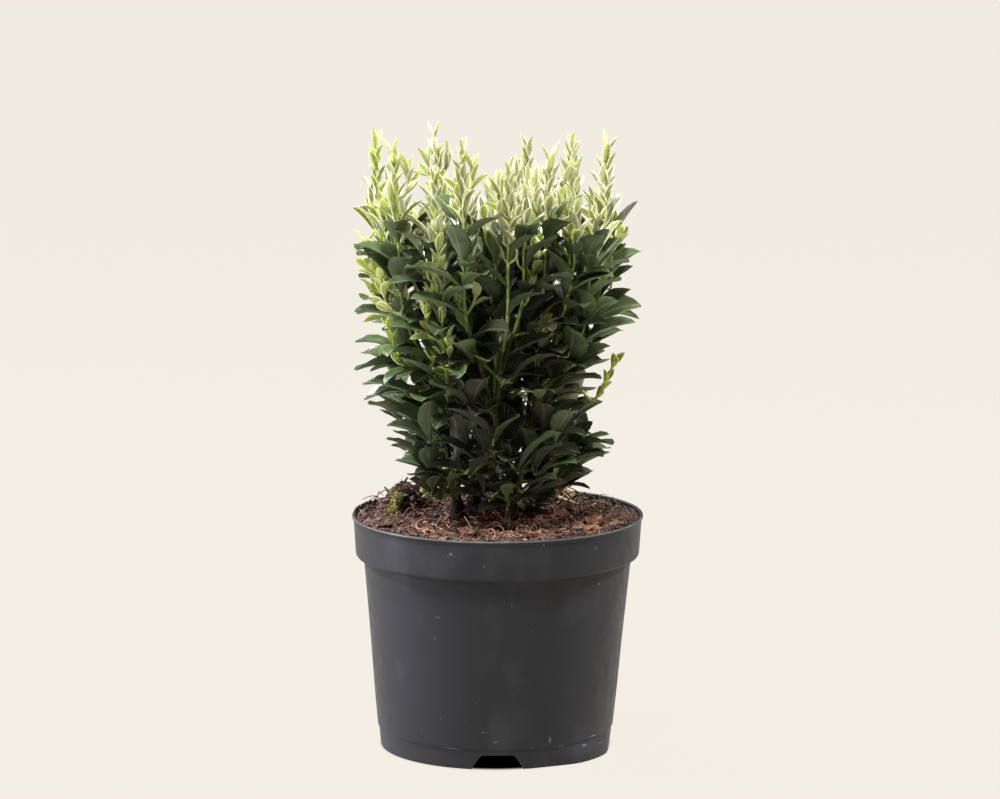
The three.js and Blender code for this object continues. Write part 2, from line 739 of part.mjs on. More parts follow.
const BARK = new THREE.MeshStandardMaterial({ color: 0x5a4a34, roughness: 0.85, metalness: 0 });
const GREEN_TWIG = new THREE.MeshStandardMaterial({ color: 0x6f8a45, roughness: 0.6, metalness: 0 });
const FOLIAGE = new THREE.MeshStandardMaterial({ color: 0x3f5f33, roughness: 0.4, metalness: 0 });
const PEAT = new THREE.MeshStandardMaterial({ color: 0x4a2f22, roughness: 0.95, metalness: 0 });
const PLASTIC = new THREE.MeshStandardMaterial({ color: 0x3a3a3d, roughness: 0.5, metalness: 0 });

// One named sub-part.
function part(name, geometry, material) {
  const mesh = new THREE.Mesh(geometry, material);
  mesh.name = name;
  return mesh;
}

function buildPlant() {
  const group = new THREE.Group();
  const plant = new THREE.Group();
  const stems = makeStems();
  const cells = makeCells();
  const central = stems[OUTER_STEMS];

  let soil = soilBody();
  for (const stem of stems) soil = soil.subtract(stemSolid(stem, CLEARANCE));
  group.add(part("pot", potGeometry(), PLASTIC));
  group.add(part("potting_mix", geometryOf(soil), PEAT));

  const cutters = stems.map((stem) => stemSolid(stem, CLEARANCE));
  for (const stem of stems) plant.add(part(stem.name, geometryOf(stemSolid(stem)), BARK));

  const limbs = stems.map((stem) => ({
    line: [0, 0.25, 0.5, 0.75, 1].map((share) => stem.foot.clone().lerp(stem.fork, share)),
    radius: STEM_FOOT_RADIUS,
  }));
  const boughOptions = { sides: 6, steps: 3 };
  for (const cell of cells) {
    const stem = cell.outer ? stems[Math.floor(cell.order / 2)] : central;
    const leader = shootsOf(cell)[0];
    const path = boughPath(cell, stem, leader);
    const curve = new THREE.CatmullRomCurve3(path);
    const direction = curve.getTangentAt(1);
    cell.entry = path[2].clone().addScaledVector(direction, CLEARANCE);
    let solid = limbSolid(path, BOUGH_RADIUS, BOUGH_TIP_RADIUS, boughOptions);
    solid = Manifold.difference([solid, ...cutters]);
    plant.add(part(`bough_${cell.name}`, geometryOf(solid), GREEN_TWIG));
    cutters.push(limbSolid(path, BOUGH_RADIUS, BOUGH_TIP_RADIUS, { ...boughOptions, grow: CLEARANCE }));
    limbs.push({ line: curve.getPoints(8), radius: BOUGH_RADIUS });
  }
  const allLimbs = Manifold.union(cutters);
  for (const cell of cells) {
    plant.add(part(`foliage_${cell.name}`, foliageGeometry(cell, limbs, allLimbs), FOLIAGE));
  }
  group.add(plant);
  return group;
}

export default buildPlant();
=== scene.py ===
"""A young variegated evergreen spindle in a round nursery pot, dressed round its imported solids."""

import json
import logging
import math
from dataclasses import dataclass, field
from enum import Enum
from itertools import product
from typing import Callable, Optional, Sequence

import bmesh
import bpy
from bpy.types import Material, Mesh, Node, NodeSocket, NodeTree, Object
from mathutils import Matrix, Vector, noise
from mathutils.bvhtree import BVHTree

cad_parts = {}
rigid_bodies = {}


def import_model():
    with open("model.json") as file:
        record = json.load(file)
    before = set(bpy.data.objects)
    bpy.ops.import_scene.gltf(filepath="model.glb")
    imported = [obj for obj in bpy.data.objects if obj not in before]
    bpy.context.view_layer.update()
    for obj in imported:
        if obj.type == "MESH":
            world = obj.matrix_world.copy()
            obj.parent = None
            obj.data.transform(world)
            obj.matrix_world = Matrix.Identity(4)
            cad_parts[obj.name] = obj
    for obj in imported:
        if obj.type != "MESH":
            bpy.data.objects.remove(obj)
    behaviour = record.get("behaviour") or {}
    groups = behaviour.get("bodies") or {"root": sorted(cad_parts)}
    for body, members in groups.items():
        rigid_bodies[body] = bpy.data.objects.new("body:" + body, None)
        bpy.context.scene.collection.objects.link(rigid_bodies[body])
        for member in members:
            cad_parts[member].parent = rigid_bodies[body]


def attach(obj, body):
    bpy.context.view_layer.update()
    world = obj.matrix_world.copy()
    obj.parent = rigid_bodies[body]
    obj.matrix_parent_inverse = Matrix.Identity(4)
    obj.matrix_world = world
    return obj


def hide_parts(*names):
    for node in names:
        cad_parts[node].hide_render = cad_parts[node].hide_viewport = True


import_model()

log = logging.getLogger("spindle")

# Sizes are in millimetres until a mesh is made, and in metres after that.
MM = 0.001
FULL_TURN = 2 * math.pi
UP = Vector((0.0, 0.0, 1.0))
SEED = 2435
WORD = 0xFFFFFFFF

SOIL_LEVEL = 150.0
TOP = 406.0
REACH = 94.4
CROWN_X = -2.0
RIM_RADIUS = 95.0
OUTER_CELLS = 8
INNER_CELLS = 3
ENTRY_ABOVE_SOIL = 40.0

Point2 = tuple[float, float]
Point3 = tuple[float, float, float]
Table = Sequence[Point2]
Faces = Sequence[Sequence[int]]


def mix(a: float, b: float, share: float) -> float:
    """The number a share of the way from a to b."""
    return a + (b - a) * share


def ease(value: float) -> float:
    """A smooth step from 0 to 1 as value goes from 0 to 1."""
    share = min(1.0, max(0.0, value))
    return share * share * (3 - 2 * share)


def along(table: Table, x: float) -> float:
    """Reads a curve given as pairs.

    Args:
        table: pairs of place and value, in order, with straight runs between them.
        x: the place to read at.

    Returns:
        The value there, held level beyond both ends.
    """
    if x <= table[0][0]:
        return table[0][1]
    for (x0, y0), (x1, y1) in zip(table, table[1:]):
        if x <= x1:
            return mix(y0, y1, (x - x0) / (x1 - x0))
    return table[-1][1]


class Draws:
    """A seeded source of numbers from 0 to 1, the same as the one that grew the solids."""

    def __init__(self, seed: int) -> None:
        """Starts the row of numbers that belongs to a seed."""
        self.state = seed & WORD

    def __call__(self) -> float:
        """Draws a number.

        Returns:
            The next number of the row.
        """
        self.state = (self.state + 0x6D2B79F5) & WORD
        word = self.state
        word = ((word ^ (word >> 15)) * (word | 1)) & WORD
        word ^= (word + (((word ^ (word >> 7)) * (word | 61)) & WORD)) & WORD
        return ((word ^ (word >> 14)) & WORD) / 4294967296

    def between(self, low: float, high: float) -> float:
        """The next number, spread from low to high."""
        return low + (high - low) * self()

    def pick(self, count: int) -> int:
        """The next whole number from 0 up to count, count left out."""
        return min(count - 1, int(self() * count))


def linear(colour: str) -> tuple[float, float, float, float]:
    """Turns an sRGB hex colour into the linear colour that the shaders take.

    Args:
        colour: six hex digits.

    Returns:
        Red, green, blue and a full alpha.
    """
    parts = [int(colour[i : i + 2], 16) / 255 for i in (0, 2, 4)]
    red, green, blue = (p / 12.92 if p <= 0.04045 else ((p + 0.055) / 1.055) ** 2.4 for p in parts)
    return red, green, blue, 1.0


def lighter(colour: str, share: float, cream: str = "f0eccd") -> str:
    """A hex colour moved a share of the way to a pale cream."""
    parts = [mix(int(colour[i : i + 2], 16), int(cream[i : i + 2], 16), share) for i in (0, 2, 4)]
    return "".join(f"{round(p):02x}" for p in parts)


def darker(colour: str, share: float) -> str:
    """A hex colour with each part cut to a share."""
    return "".join(f"{round(int(colour[i : i + 2], 16) * share):02x}" for i in (0, 2, 4))


def add(tree: NodeTree, kind: str, inputs: Optional[dict] = None, **settings: object) -> Node:
    """Adds a node with its settings and links.

    Args:
        tree: the node tree to add to.
        kind: the node's type.
        inputs: by socket name or number, an output socket to link or a value to set.
        settings: the node's own properties.

    Returns:
        The new node.
    """
    node = tree.nodes.new(kind)
    for name, value in settings.items():
        setattr(node, name, value)
    for socket, value in (inputs or {}).items():
        if isinstance(value, NodeSocket):
            tree.links.new(value, node.inputs[socket])
        else:
            node.inputs[socket].default_value = value
    return node


@dataclass(frozen=True)
class Finish:
    """A surface finish that can be made into a material, its patterns sized in millimetres."""

    name: str

    def shader(self, tree: NodeTree) -> NodeSocket:
        """Fills the tree and returns the shader's output socket."""
        raise NotImplementedError

    def build(self) -> Material:
        """Makes the material.

        Returns:
            The new material, with this finish's shader linked to its surface.
        """
        material = bpy.data.materials.new(self.name)
        material.use_nodes = True
        tree = material.node_tree
        tree.nodes.clear()
        add(tree, "ShaderNodeOutputMaterial", {"Surface": self.shader(tree)})
        return material

    def cloudy(self, tree: NodeTree, size: float, detail: float = 3.0, stretch: float = 1.0) -> NodeSocket:
        """Adds a cloudy pattern that is fixed to the object.

        Args:
            tree: the tree to add to.
            size: the size of its clouds in millimetres.
            detail: how many finer layers it has.
            stretch: how much longer its clouds are upwards than across.

        Returns:
            The pattern's value, about a half on average.
        """
        place = add(tree, "ShaderNodeTexCoord").outputs["Object"]
        drawn = add(tree, "ShaderNodeMapping", {"Vector": place, "Scale": (1.0, 1.0, 1.0 / stretch)})
        inputs = {"Vector": drawn.outputs[0], "Scale": 1 / (size * MM), "Detail": detail}
        return add(tree, "ShaderNodeTexNoise", inputs).outputs[0]

    def mottled(
        self, tree: NodeTree, under: object, over: str, value: NodeSocket, span: Point2, share: float = 1.0
    ) -> NodeSocket:
        """Lays a second colour over a first one where a pattern is strong.

        Args:
            tree: the tree to add to.
            under: the first colour, as hex digits or a socket.
            over: the second colour, as hex digits.
            value: the pattern.
            span: the pattern's values where the second colour starts and where it is full.
            share: how much the second colour covers where it is full.

        Returns:
            The resulting colour.
        """
        spread = add(
            tree, "ShaderNodeMapRange",
            {"Value": value, "From Min": span[0], "From Max": span[1], "To Min": 0.0, "To Max": share},
            interpolation_type="SMOOTHSTEP",
        )
        first = linear(under) if isinstance(under, str) else under
        colours = {0: spread.outputs[0], 6: first, 7: linear(over)}
        return add(tree, "ShaderNodeMix", colours, data_type="RGBA").outputs[2]

    def worn(self, tree: NodeTree, size: float, roughness: float, play: float = 0.07) -> NodeSocket:
        """Lets the roughness play about its value in clouds.

        Args:
            tree: the tree to add to.
            size: the size of the clouds in millimetres.
            roughness: the value.
            play: how far it goes to either side.

        Returns:
            The roughness.
        """
        spread = add(
            tree, "ShaderNodeMapRange",
            {
                "Value": self.cloudy(tree, size), "From Min": 0.3, "From Max": 0.7,
                "To Min": roughness - play, "To Max": roughness + play,
            },
        )
        return spread.outputs[0]

    def grain(self, tree: NodeTree, height: NodeSocket, depth: float, strength: float = 0.6) -> NodeSocket:
        """Turns a pattern into a grain of a depth in millimetres and returns the normal."""
        inputs = {"Height": height, "Strength": strength, "Distance": depth * MM}
        return add(tree, "ShaderNodeBump", inputs).outputs[0]


# Thin black polypropylene as it leaves the mould: a dull satin that turns grey where light grazes it.
@dataclass(frozen=True)
class MouldedPolypropylene(Finish):
    """Injection moulded polypropylene with a fine grain, faint rubs, scratches, specks of dried peat and two
    painted highlights on its ledge.
    """

    colour: str = "29292d"
    rubs_and_sheen: str = "414146"
    scratch_and_highlight: str = "7c7c7e"
    dust: str = "77736c"
    roughness: float = 0.46
    # Each mark's place, then half its width, depth and height.
    marks_and_highlights: tuple[tuple[float, ...], ...] = (
        (-29.4, -88.8, 144.2, 1.5, 1.6, 1.3), (-31.5, -88.0, 142.9, 0.6, 1.0, 0.6),
        (62.8, -69.3, 144.1, 0.9, 1.5, 0.9), (-8.5, -92.6, 136.6, 0.8, 1.2, 0.9),
        (65.1, -56.8, 118.0, 0.9, 1.5, 0.7), (33.7, -68.9, 18.2, 0.9, 5.0, 2.6),
        (-1.6, -76.8, 18.8, 2.0, 2.0, 0.7), (-48.0, -60.5, 23.4, 1.8, 2.4, 0.5),
        # The two wide flat marks at 13.3 and 12.9 mm high lie along the ledge's edge: painted highlights, not
        # scratches.
        (-9.3, -76.9, 25.4, 3.2, 2.0, 0.4), (-29.0, -70.4, 13.3, 9.0, 5.0, 0.5),
        (41.5, -63.9, 12.9, 6.5, 5.0, 0.5), (-56.0, -58.0, 92.0, 5.5, 4.0, 0.5),
        (-38.0, -74.0, 100.5, 3.0, 3.0, 0.4), (62.0, -46.0, 15.0, 2.6, 6.0, 0.7),
        (56.0, -52.0, 10.5, 2.0, 5.0, 0.9), (66.0, -36.0, 8.5, 3.0, 4.0, 0.6),
    )

    def shader(self, tree: NodeTree) -> NodeSocket:
        """Fills the tree: soft rubs and fine specks all over, then each mark at its own place: scratches,
        specks and two painted highlights on the ledge.

        Args:
            tree: the tree to fill.

        Returns:
            The shader's output socket.
        """
        colour = self.mottled(tree, self.colour, self.rubs_and_sheen, self.cloudy(tree, 24, 4, 1.8), (0.48, 0.8), 0.5)
        colour = self.mottled(tree, colour, self.dust, self.cloudy(tree, 2.6, 1), (0.77, 0.81), 0.25)
        place = add(tree, "ShaderNodeTexCoord").outputs["Object"]
        nearest = None
        for x, y, z, wide, deep, high in self.marks_and_highlights:
            at = (x * MM, y * MM, z * MM)
            scale = (1 / (wide * MM), 1 / (deep * MM), 1 / (high * MM))
            shift = add(tree, "ShaderNodeVectorMath", {0: place, 1: at}, operation="SUBTRACT")
            drawn = add(tree, "ShaderNodeVectorMath", {0: shift.outputs[0], 1: scale}, operation="MULTIPLY")
            length = add(tree, "ShaderNodeVectorMath", {0: drawn.outputs[0]}, operation="LENGTH")
            away = length.outputs["Value"]
            if nearest is not None:
                away = add(tree, "ShaderNodeMath", {0: away, 1: nearest}, operation="MINIMUM").outputs[0]
            nearest = away
        ragged = {0: self.cloudy(tree, 1.4, 2), 1: 1.6, 2: nearest}
        broken = add(tree, "ShaderNodeMath", ragged, operation="MULTIPLY_ADD")
        # The marks take a pale grey: real scratches and specks, and on the ledge painted highlights.
        colour = self.mottled(tree, colour, self.scratch_and_highlight, broken.outputs[0], (1.8, 1.3), 0.5)
        inputs = {
            "Base Color": colour, "Roughness": self.worn(tree, 9, self.roughness), "IOR": 1.49,
            "Specular IOR Level": 0.24,
            "Normal": self.grain(tree, self.cloudy(tree, 0.9, 2), 0.05, 0.3),
        }
        return add(tree, "ShaderNodeBsdfPrincipled", inputs).outputs[0]


# Damp peat, bark and coir: matt, with paler grains and painted shade nearly black in the pores, the low
# places of the grain.
@dataclass(frozen=True)
class Crumbly(Finish):
    """Rough plant matter in patches of its own tones, with painted shade nearly black in its pores."""

    colour: str = "3e2c23"
    light: str = "6a4a38"
    deep: str = "1a100c"
    patch: float = 2.2
    roughness: float = 0.85

    def shader(self, tree: NodeTree) -> NodeSocket:
        """Fills the tree: painted shade in the pores, then lighter grains, over the main tone.

        Args:
            tree: the tree to fill.

        Returns:
            The shader's output socket.
        """
        pores = self.cloudy(tree, self.patch, 6)
        # The deep tone fills the pores, where the grain is low: painted shade.
        colour = self.mottled(tree, self.deep, self.colour, pores, (0.3, 0.5))
        colour = self.mottled(tree, colour, self.light, self.cloudy(tree, self.patch * 2.3, 4), (0.48, 0.72))
        inputs = {
            "Base Color": colour, "Roughness": self.roughness, "IOR": 1.42,
            "Normal": self.grain(tree, pores, 0.5, 0.8),
        }
        return add(tree, "ShaderNodeBsdfPrincipled", inputs).outputs[0]


# Thin young bark: matt, with long cracks that catch a little light on their edges; the dark in the cracks is
# partly the bark's own colour and partly painted shade.
@dataclass(frozen=True)
class Bark(Finish):
    """Bark of a young stem, drawn out along it."""

    colour: str = "261a13"
    light: str = "3f2c20"
    deep: str = "120b08"
    stretch: float = 6.0
    roughness: float = 0.78

    def shader(self, tree: NodeTree) -> NodeSocket:
        """Fills the tree: dark cracks, partly painted shade, drawn out along the stem, over broad patches.

        Args:
            tree: the tree to fill.

        Returns:
            The shader's output socket.
        """
        cracks = self.cloudy(tree, 1.1, 5, self.stretch)
        # The deep tone fills the cracks, where the grain is low: partly the bark's own colour, partly painted
        # shade.
        colour = self.mottled(tree, self.deep, self.colour, cracks, (0.34, 0.56))
        colour = self.mottled(tree, colour, self.light, self.cloudy(tree, 6), (0.48, 0.72))
        inputs = {
            "Base Color": colour, "Roughness": self.roughness, "IOR": 1.45,
            "Specular IOR Level": 0.25, "Normal": self.grain(tree, cracks, 0.4, 0.7),
        }
        return add(tree, "ShaderNodeBsdfPrincipled", inputs).outputs[0]


# The waxed skin of an evergreen leaf: a clear gloss above, duller beneath, with paler veins sunk in it.
@dataclass(frozen=True)
class LeafSkin(Finish):
    """A leaf's blade or underside with its veins; a young leaf lets some light through."""

    colour: str = "35522f"
    vein_share: float = 0.5
    roughness: float = 0.3
    glow_through: float = 0.0
    vein_slant: float = 1.15
    vein_waves: float = 46.0

    def shader(self, tree: NodeTree) -> NodeSocket:
        """Fills the tree: veins follow the leaf's own map, whose first axis runs across the blade.

        Args:
            tree: the tree to fill.

        Returns:
            The shader's output socket.
        """
        dull = darker(self.colour, 0.76)
        colour = self.mottled(tree, dull, self.colour, self.cloudy(tree, 14), (0.32, 0.68))
        place = add(tree, "ShaderNodeUVMap", uv_map="leaf").outputs["UV"]
        parts = add(tree, "ShaderNodeSeparateXYZ", {0: place})
        centred = add(tree, "ShaderNodeMath", {0: parts.outputs[0], 1: 0.5}, operation="SUBTRACT").outputs[0]
        aside = add(tree, "ShaderNodeMath", {0: centred}, operation="ABSOLUTE").outputs[0]
        slanting = {0: aside, 1: -self.vein_slant, 2: parts.outputs[1]}
        slant = add(tree, "ShaderNodeMath", slanting, operation="MULTIPLY_ADD").outputs[0]
        waves = add(tree, "ShaderNodeMath", {0: slant, 1: self.vein_waves}, operation="MULTIPLY").outputs[0]
        wave = add(tree, "ShaderNodeMath", {0: waves}, operation="SINE").outputs[0]
        midrib = add(
            tree, "ShaderNodeMapRange", {"Value": aside, "From Min": 0.075, "From Max": 0.02},
            interpolation_type="SMOOTHSTEP",
        )
        side = add(
            tree, "ShaderNodeMapRange", {"Value": wave, "From Min": 0.86, "From Max": 1.0, "To Max": 0.38},
            interpolation_type="SMOOTHSTEP",
        )
        both = {0: midrib.outputs[0], 1: side.outputs[0]}
        veins = add(tree, "ShaderNodeMath", both, operation="MAXIMUM").outputs[0]
        colour = self.mottled(tree, colour, lighter(self.colour, 0.3), veins, (0.0, 1.0), self.vein_share)
        inputs = {
            "Base Color": colour, "Roughness": self.worn(tree, 5, self.roughness), "IOR": 1.48,
            "Subsurface Weight": self.glow_through, "Subsurface Radius": (0.9, 1.0, 0.35),
            "Subsurface Scale": 2.0 * MM, "Normal": self.grain(tree, veins, 0.35, 0.35),
        }
        return add(tree, "ShaderNodeBsdfPrincipled", inputs).outputs[0]


# The pale edge of a leaf: a plain satin, without veins that the eye could make out.
@dataclass(frozen=True)
class PlainLeafSkin(Finish):
    """Leaf skin in soft clouds of two near tones."""

    colour: str = "e6e2b4"
    roughness: float = 0.4
    glow_through: float = 0.0

    def shader(self, tree: NodeTree) -> NodeSocket:
        """Fills the tree with the two tones in clouds of a few millimetres.

        Args:
            tree: the tree to fill.

        Returns:
            The shader's output socket.
        """
        dull = darker(self.colour, 0.9)
        inputs = {
            "Base Color": self.mottled(tree, dull, self.colour, self.cloudy(tree, 6), (0.35, 0.65)),
            "Roughness": self.roughness, "IOR": 1.45, "Subsurface Weight": self.glow_through,
            "Subsurface Radius": (0.9, 1.0, 0.35), "Subsurface Scale": 2.0 * MM,
        }
        return add(tree, "ShaderNodeBsdfPrincipled", inputs).outputs[0]


@dataclass
class Shell:
    """Vertices and faces gathered for one mesh, in millimetres."""

    verts: list[Vector] = field(default_factory=list)
    faces: list[Sequence[int]] = field(default_factory=list)
    tones: list[int] = field(default_factory=list)

    def add(self, verts: Sequence[Vector], faces: Faces, tone: object = 0) -> None:
        """Adds a closed form.

        Args:
            verts: its vertices.
            faces: its faces, by the numbers of these vertices.
            tone: the material's number, or a list with one for each face.
        """
        start = len(self.verts)
        self.verts.extend(verts)
        self.faces.extend([start + i for i in face] for face in faces)
        self.tones.extend([tone] * len(faces) if isinstance(tone, int) else tone)

    def turn(self, rings: Sequence[Sequence[Vector]], first: Vector, last: Vector, from_below: bool) -> None:
        """Adds a closed form made of rings of points.

        Args:
            rings: the rings, all with as many points.
            first: the point that closes the first ring.
            last: the point that closes the last ring.
            from_below: True if the first ring is under the form, False if it is on top.
        """
        sides = len(rings[0])
        verts = [first, *(point for ring in rings for point in ring), last]
        faces = []
        for side in range(sides):
            after = (side + 1) % sides
            faces.append([0, 1 + after, 1 + side])
            for a in range(1, 1 + (len(rings) - 1) * sides, sides):
                faces.append([a + side, a + after, a + sides + after, a + sides + side])
            a = 1 + (len(rings) - 1) * sides
            faces.append([a + side, a + after, len(verts) - 1])
        self.add(verts, faces if from_below else [face[::-1] for face in faces])

    def mesh(self, name: str, materials: Sequence[Material]) -> Mesh:
        """Makes the mesh.

        Args:
            name: its name.
            materials: the materials of its tones, in order.

        Returns:
            The mesh, in metres.
        """
        mesh = bpy.data.meshes.new(name)
        mesh.from_pydata([v * MM for v in self.verts], [], self.faces)
        for material in materials:
            mesh.materials.append(material)
        mesh.polygons.foreach_set("material_index", self.tones)
        mesh.shade_smooth()
        return mesh

    def piece(self, name: str, materials: Sequence[Material], sharp: float = 40.0) -> Object:
        """Makes the mesh an object of the scene.

        Args:
            name: its name.
            materials: the materials of its tones, in order.
            sharp: the angle in degrees past which an edge is sharp.

        Returns:
            The object.
        """
        mesh = self.mesh(name, materials)
        mesh.set_sharp_from_angle(angle=math.radians(sharp))
        piece = bpy.data.objects.new(name, mesh)
        bpy.context.scene.collection.objects.link(piece)
        return piece


def square_to(direction: Vector) -> tuple[Vector, Vector]:
    """Finds the directions across a line.

    Args:
        direction: the line's direction, a unit vector.

    Returns:
        Two unit vectors square to it and to each other, the first of them level.
    """
    level = UP.cross(direction)
    if level.length < 0.05:
        level = Vector((1.0, 0.0, 0.0)) - direction * direction.x
    level.normalize()
    return level, direction.cross(level).normalized()


def outward(stem: Vector, azimuth: float) -> Vector:
    """The unit vector square to a stem at an angle round it."""
    level, upright = square_to(stem)
    return level * math.cos(azimuth) + upright * math.sin(azimuth)


def circle(radius: float, height: float, sides: int) -> list[Vector]:
    """The points of a level circle about the pot's axis."""
    angles = [side * FULL_TURN / sides for side in range(sides)]
    return [Vector((radius * math.cos(angle), radius * math.sin(angle), height)) for angle in angles]


class Path:
    """A smooth line through a few points, kept as short straight runs."""

    def __init__(self, points: Sequence[Vector], spacing: float = 3.0) -> None:
        """Runs a Catmull-Rom curve through the points.

        Args:
            points: the points, in order.
            spacing: about how far apart the finer points lie.
        """
        ends = [points[0] * 2 - points[1], *points, points[-1] * 2 - points[-2]]
        self.points = [points[0].copy()]
        for a, b, c, d in zip(ends, ends[1:], ends[2:], ends[3:]):
            steps = max(1, round((c - b).length / spacing))
            for step in range(1, steps + 1):
                t = step / steps
                bend = 2 * a - 5 * b + 4 * c - d
                twist = 3 * b - a - 3 * c + d
                self.points.append(0.5 * (2 * b + (c - a) * t + bend * t**2 + twist * t**3))
        self.starts = [0.0]
        for a, b in zip(self.points, self.points[1:]):
            self.starts.append(self.starts[-1] + (b - a).length)

    @property
    def length(self) -> float:
        """The line's length."""
        return self.starts[-1]

    def at(self, distance: float) -> tuple[Vector, Vector]:
        """Finds a place on the line.

        Args:
            distance: how far it is from the line's start.

        Returns:
            The point and the direction there.
        """
        place = min(max(distance, 0.0), self.length)
        last = len(self.starts) - 1
        i = next((k for k in range(1, last) if self.starts[k] >= place), last)
        a, b = self.points[i - 1], self.points[i]
        share = (place - self.starts[i - 1]) / (self.starts[i] - self.starts[i - 1])
        return a.lerp(b, share), (b - a).normalized()

    def tube(self, radius: Callable[[float, float], float], sides: int) -> tuple[list[Vector], Faces]:
        """A closed tube along the line, flat at its start and drawn to a point at its end.

        Args:
            radius: its radius from the distance along the line and the angle round it.
            sides: how many sides it has.

        Returns:
            Its vertices and faces.
        """
        verts: list[Vector] = []
        faces: list[list[int]] = [list(range(sides))[::-1]]
        normal = square_to((self.points[1] - self.points[0]).normalized())[0]
        for i, centre in enumerate(self.points):
            before, after = self.points[max(0, i - 1)], self.points[min(len(self.points) - 1, i + 1)]
            stem = (after - before).normalized()
            normal = (normal - stem * normal.dot(stem)).normalized()
            other = stem.cross(normal)
            for side in range(sides):
                angle = side * FULL_TURN / sides
                out = radius(self.starts[i], angle)
                verts.append(centre + (normal * math.cos(angle) + other * math.sin(angle)) * out)
        tip = len(verts)
        stem = (self.points[-1] - self.points[-2]).normalized()
        verts.append(self.points[-1] + stem * radius(self.length, 0.0) * 0.8)
        last = (len(self.points) - 1) * sides
        for side in range(sides):
            after = (side + 1) % sides
            for ring in range(0, last, sides):
                faces.append([ring + side, ring + after, ring + sides + after, ring + sides + side])
            faces.append([last + side, last + after, tip])
        return verts, faces


# Each row of a leaf has five points on its upper side and three under it.
LEAF_COLUMNS = 8


class LeafKind(Enum):
    """The kinds of leaf, from a shoot's tip down, and those of the fresh side shoots."""

    TIP = "tip"
    CREAM = "cream"
    TURNING = "turning"
    GROWN = "grown"
    FRESH = "fresh"


@dataclass(frozen=True)
class LeafShape:
    """The form of one kind of leaf, in shares of its length unless it says otherwise."""

    outline: Table
    rows: Sequence[float]
    edge_from: float
    cup: float
    root_rise: Point2
    tip_fall: Point2
    tooth: float = 0.0
    wave: float = 0.0
    thickness: float = 0.012
    most_sway: float = 0.07
    edge_play: Point2 = (0.86, 1.08)
    variants: int = 4

    def midrib(self, rise: float, fall: float, sway: float) -> list[tuple[Vector, Vector, Vector]]:
        """The midrib at each row.

        Args:
            rise: the angle at which it leaves its root, up from the Y axis, in degrees.
            fall: the angle at its tip, below the Y axis, in degrees.
            sway: how far its tip lies to the side.

        Returns:
            At each row its point, and the directions across the blade and square to it.
        """
        frames = []
        place = Vector((0.0, 0.0, 0.0))
        before = 0.0
        for t in self.rows:
            angle = math.radians(mix(rise, -fall, t**1.25))
            step = Vector((sway * 2 * t, math.cos(angle), math.sin(angle))) * (t - before)
            place = place + step
            across = Vector((1.0, -sway * 2 * t, 0.0)).normalized()
            frames.append((place.copy(), across, Vector((0.0, -math.sin(angle), math.cos(angle)))))
            before = t
        return frames

    def draw(self, seed: int) -> tuple[list[Vector], list[list[int]], list[int], list[Point2]]:
        """Draws one variant of the leaf, a unit long, along +Y with its upper face to +Z.

        Args:
            seed: the variant's seed.

        Returns:
            Its vertices, its faces, the zone of each face (blade, edge, underside or the underside's
            edge), and each vertex's place on the leaf.
        """
        next_ = Draws(seed)
        rise = next_.between(*self.root_rise)
        fall = next_.between(*self.tip_fall)
        frames = self.midrib(rise, fall, next_.between(-self.most_sway, self.most_sway))
        phase = next_() * FULL_TURN
        verts: list[Vector] = []
        places: list[Point2] = []
        for i, (t, (centre, across, lift)) in enumerate(zip(self.rows[:-1], frames)):
            half = along(self.outline, t) * (1 + self.tooth * (1 if i % 2 else -1))
            left = self.edge_from * next_.between(*self.edge_play)
            right = self.edge_from * next_.between(*self.edge_play)
            for column, share in enumerate((-1.0, -left, 0.0, right, 1.0, -left, 0.0, right)):
                up = self.cup * half * (1.5 * abs(share) - 0.5 * share * share)
                swing = math.sin(9 * t + phase + (1.4 if share > 0 else 0.0))
                up += self.wave * half * abs(share) ** 3 * swing
                under = self.thickness * (1.6 - 0.8 * t) if column > 4 else 0.0
                verts.append(centre + across * (half * share) + lift * (up - under))
                places.append((0.5 + 0.5 * share, t))
        tip = len(verts)
        verts.append(frames[-1][0])
        places.append((0.5, 1.0))
        below = (0, 5, 6, 7, 4)
        faces: list[list[int]] = [[4, 3, 2, 1, 0, 5, 6, 7]]
        zones = [2]
        last = (len(self.rows) - 2) * LEAF_COLUMNS
        for start in range(0, last + 1, LEAF_COLUMNS):
            after = start + LEAF_COLUMNS
            for j in range(4):
                ahead = [tip] if start == last else [after + j + 1, after + j]
                faces.append([start + j, start + j + 1, *ahead])
                zones.append(1 if j in (0, 3) else 0)
            for j, (a, b) in enumerate(zip(below, below[1:])):
                ahead = [tip] if start == last else [after + a, after + b]
                faces.append([start + a, *ahead, start + b])
                zones.append(3 if j in (0, 3) else 2)
        return verts, faces, zones, places

    def sheet(self, seed: int) -> tuple[list[Vector], Faces]:
        """A plain sheet of the same variant, to test whether a leaf has room.

        Args:
            seed: the variant's seed.

        Returns:
            Its vertices and faces.
        """
        verts = self.draw(seed)[0]
        rows = range(2, len(self.rows) - 1, 2)
        points = [verts[row * LEAF_COLUMNS + column] for row in rows for column in (0, 2, 4)]
        points.append(verts[-1])
        faces = []
        last = 3 * (len(rows) - 1)
        for a in range(0, last, 3):
            faces += [[a, a + 1, a + 4, a + 3], [a + 1, a + 2, a + 5, a + 4]]
        faces += [[last, last + 1, last + 3], [last + 1, last + 2, last + 3]]
        return points, faces


LONG_ROWS = (0.0, 0.13, 0.3, 0.47, 0.64, 0.8, 0.93, 1.0)
SHORT_ROWS = (0.0, 0.14, 0.32, 0.52, 0.72, 0.89, 1.0)

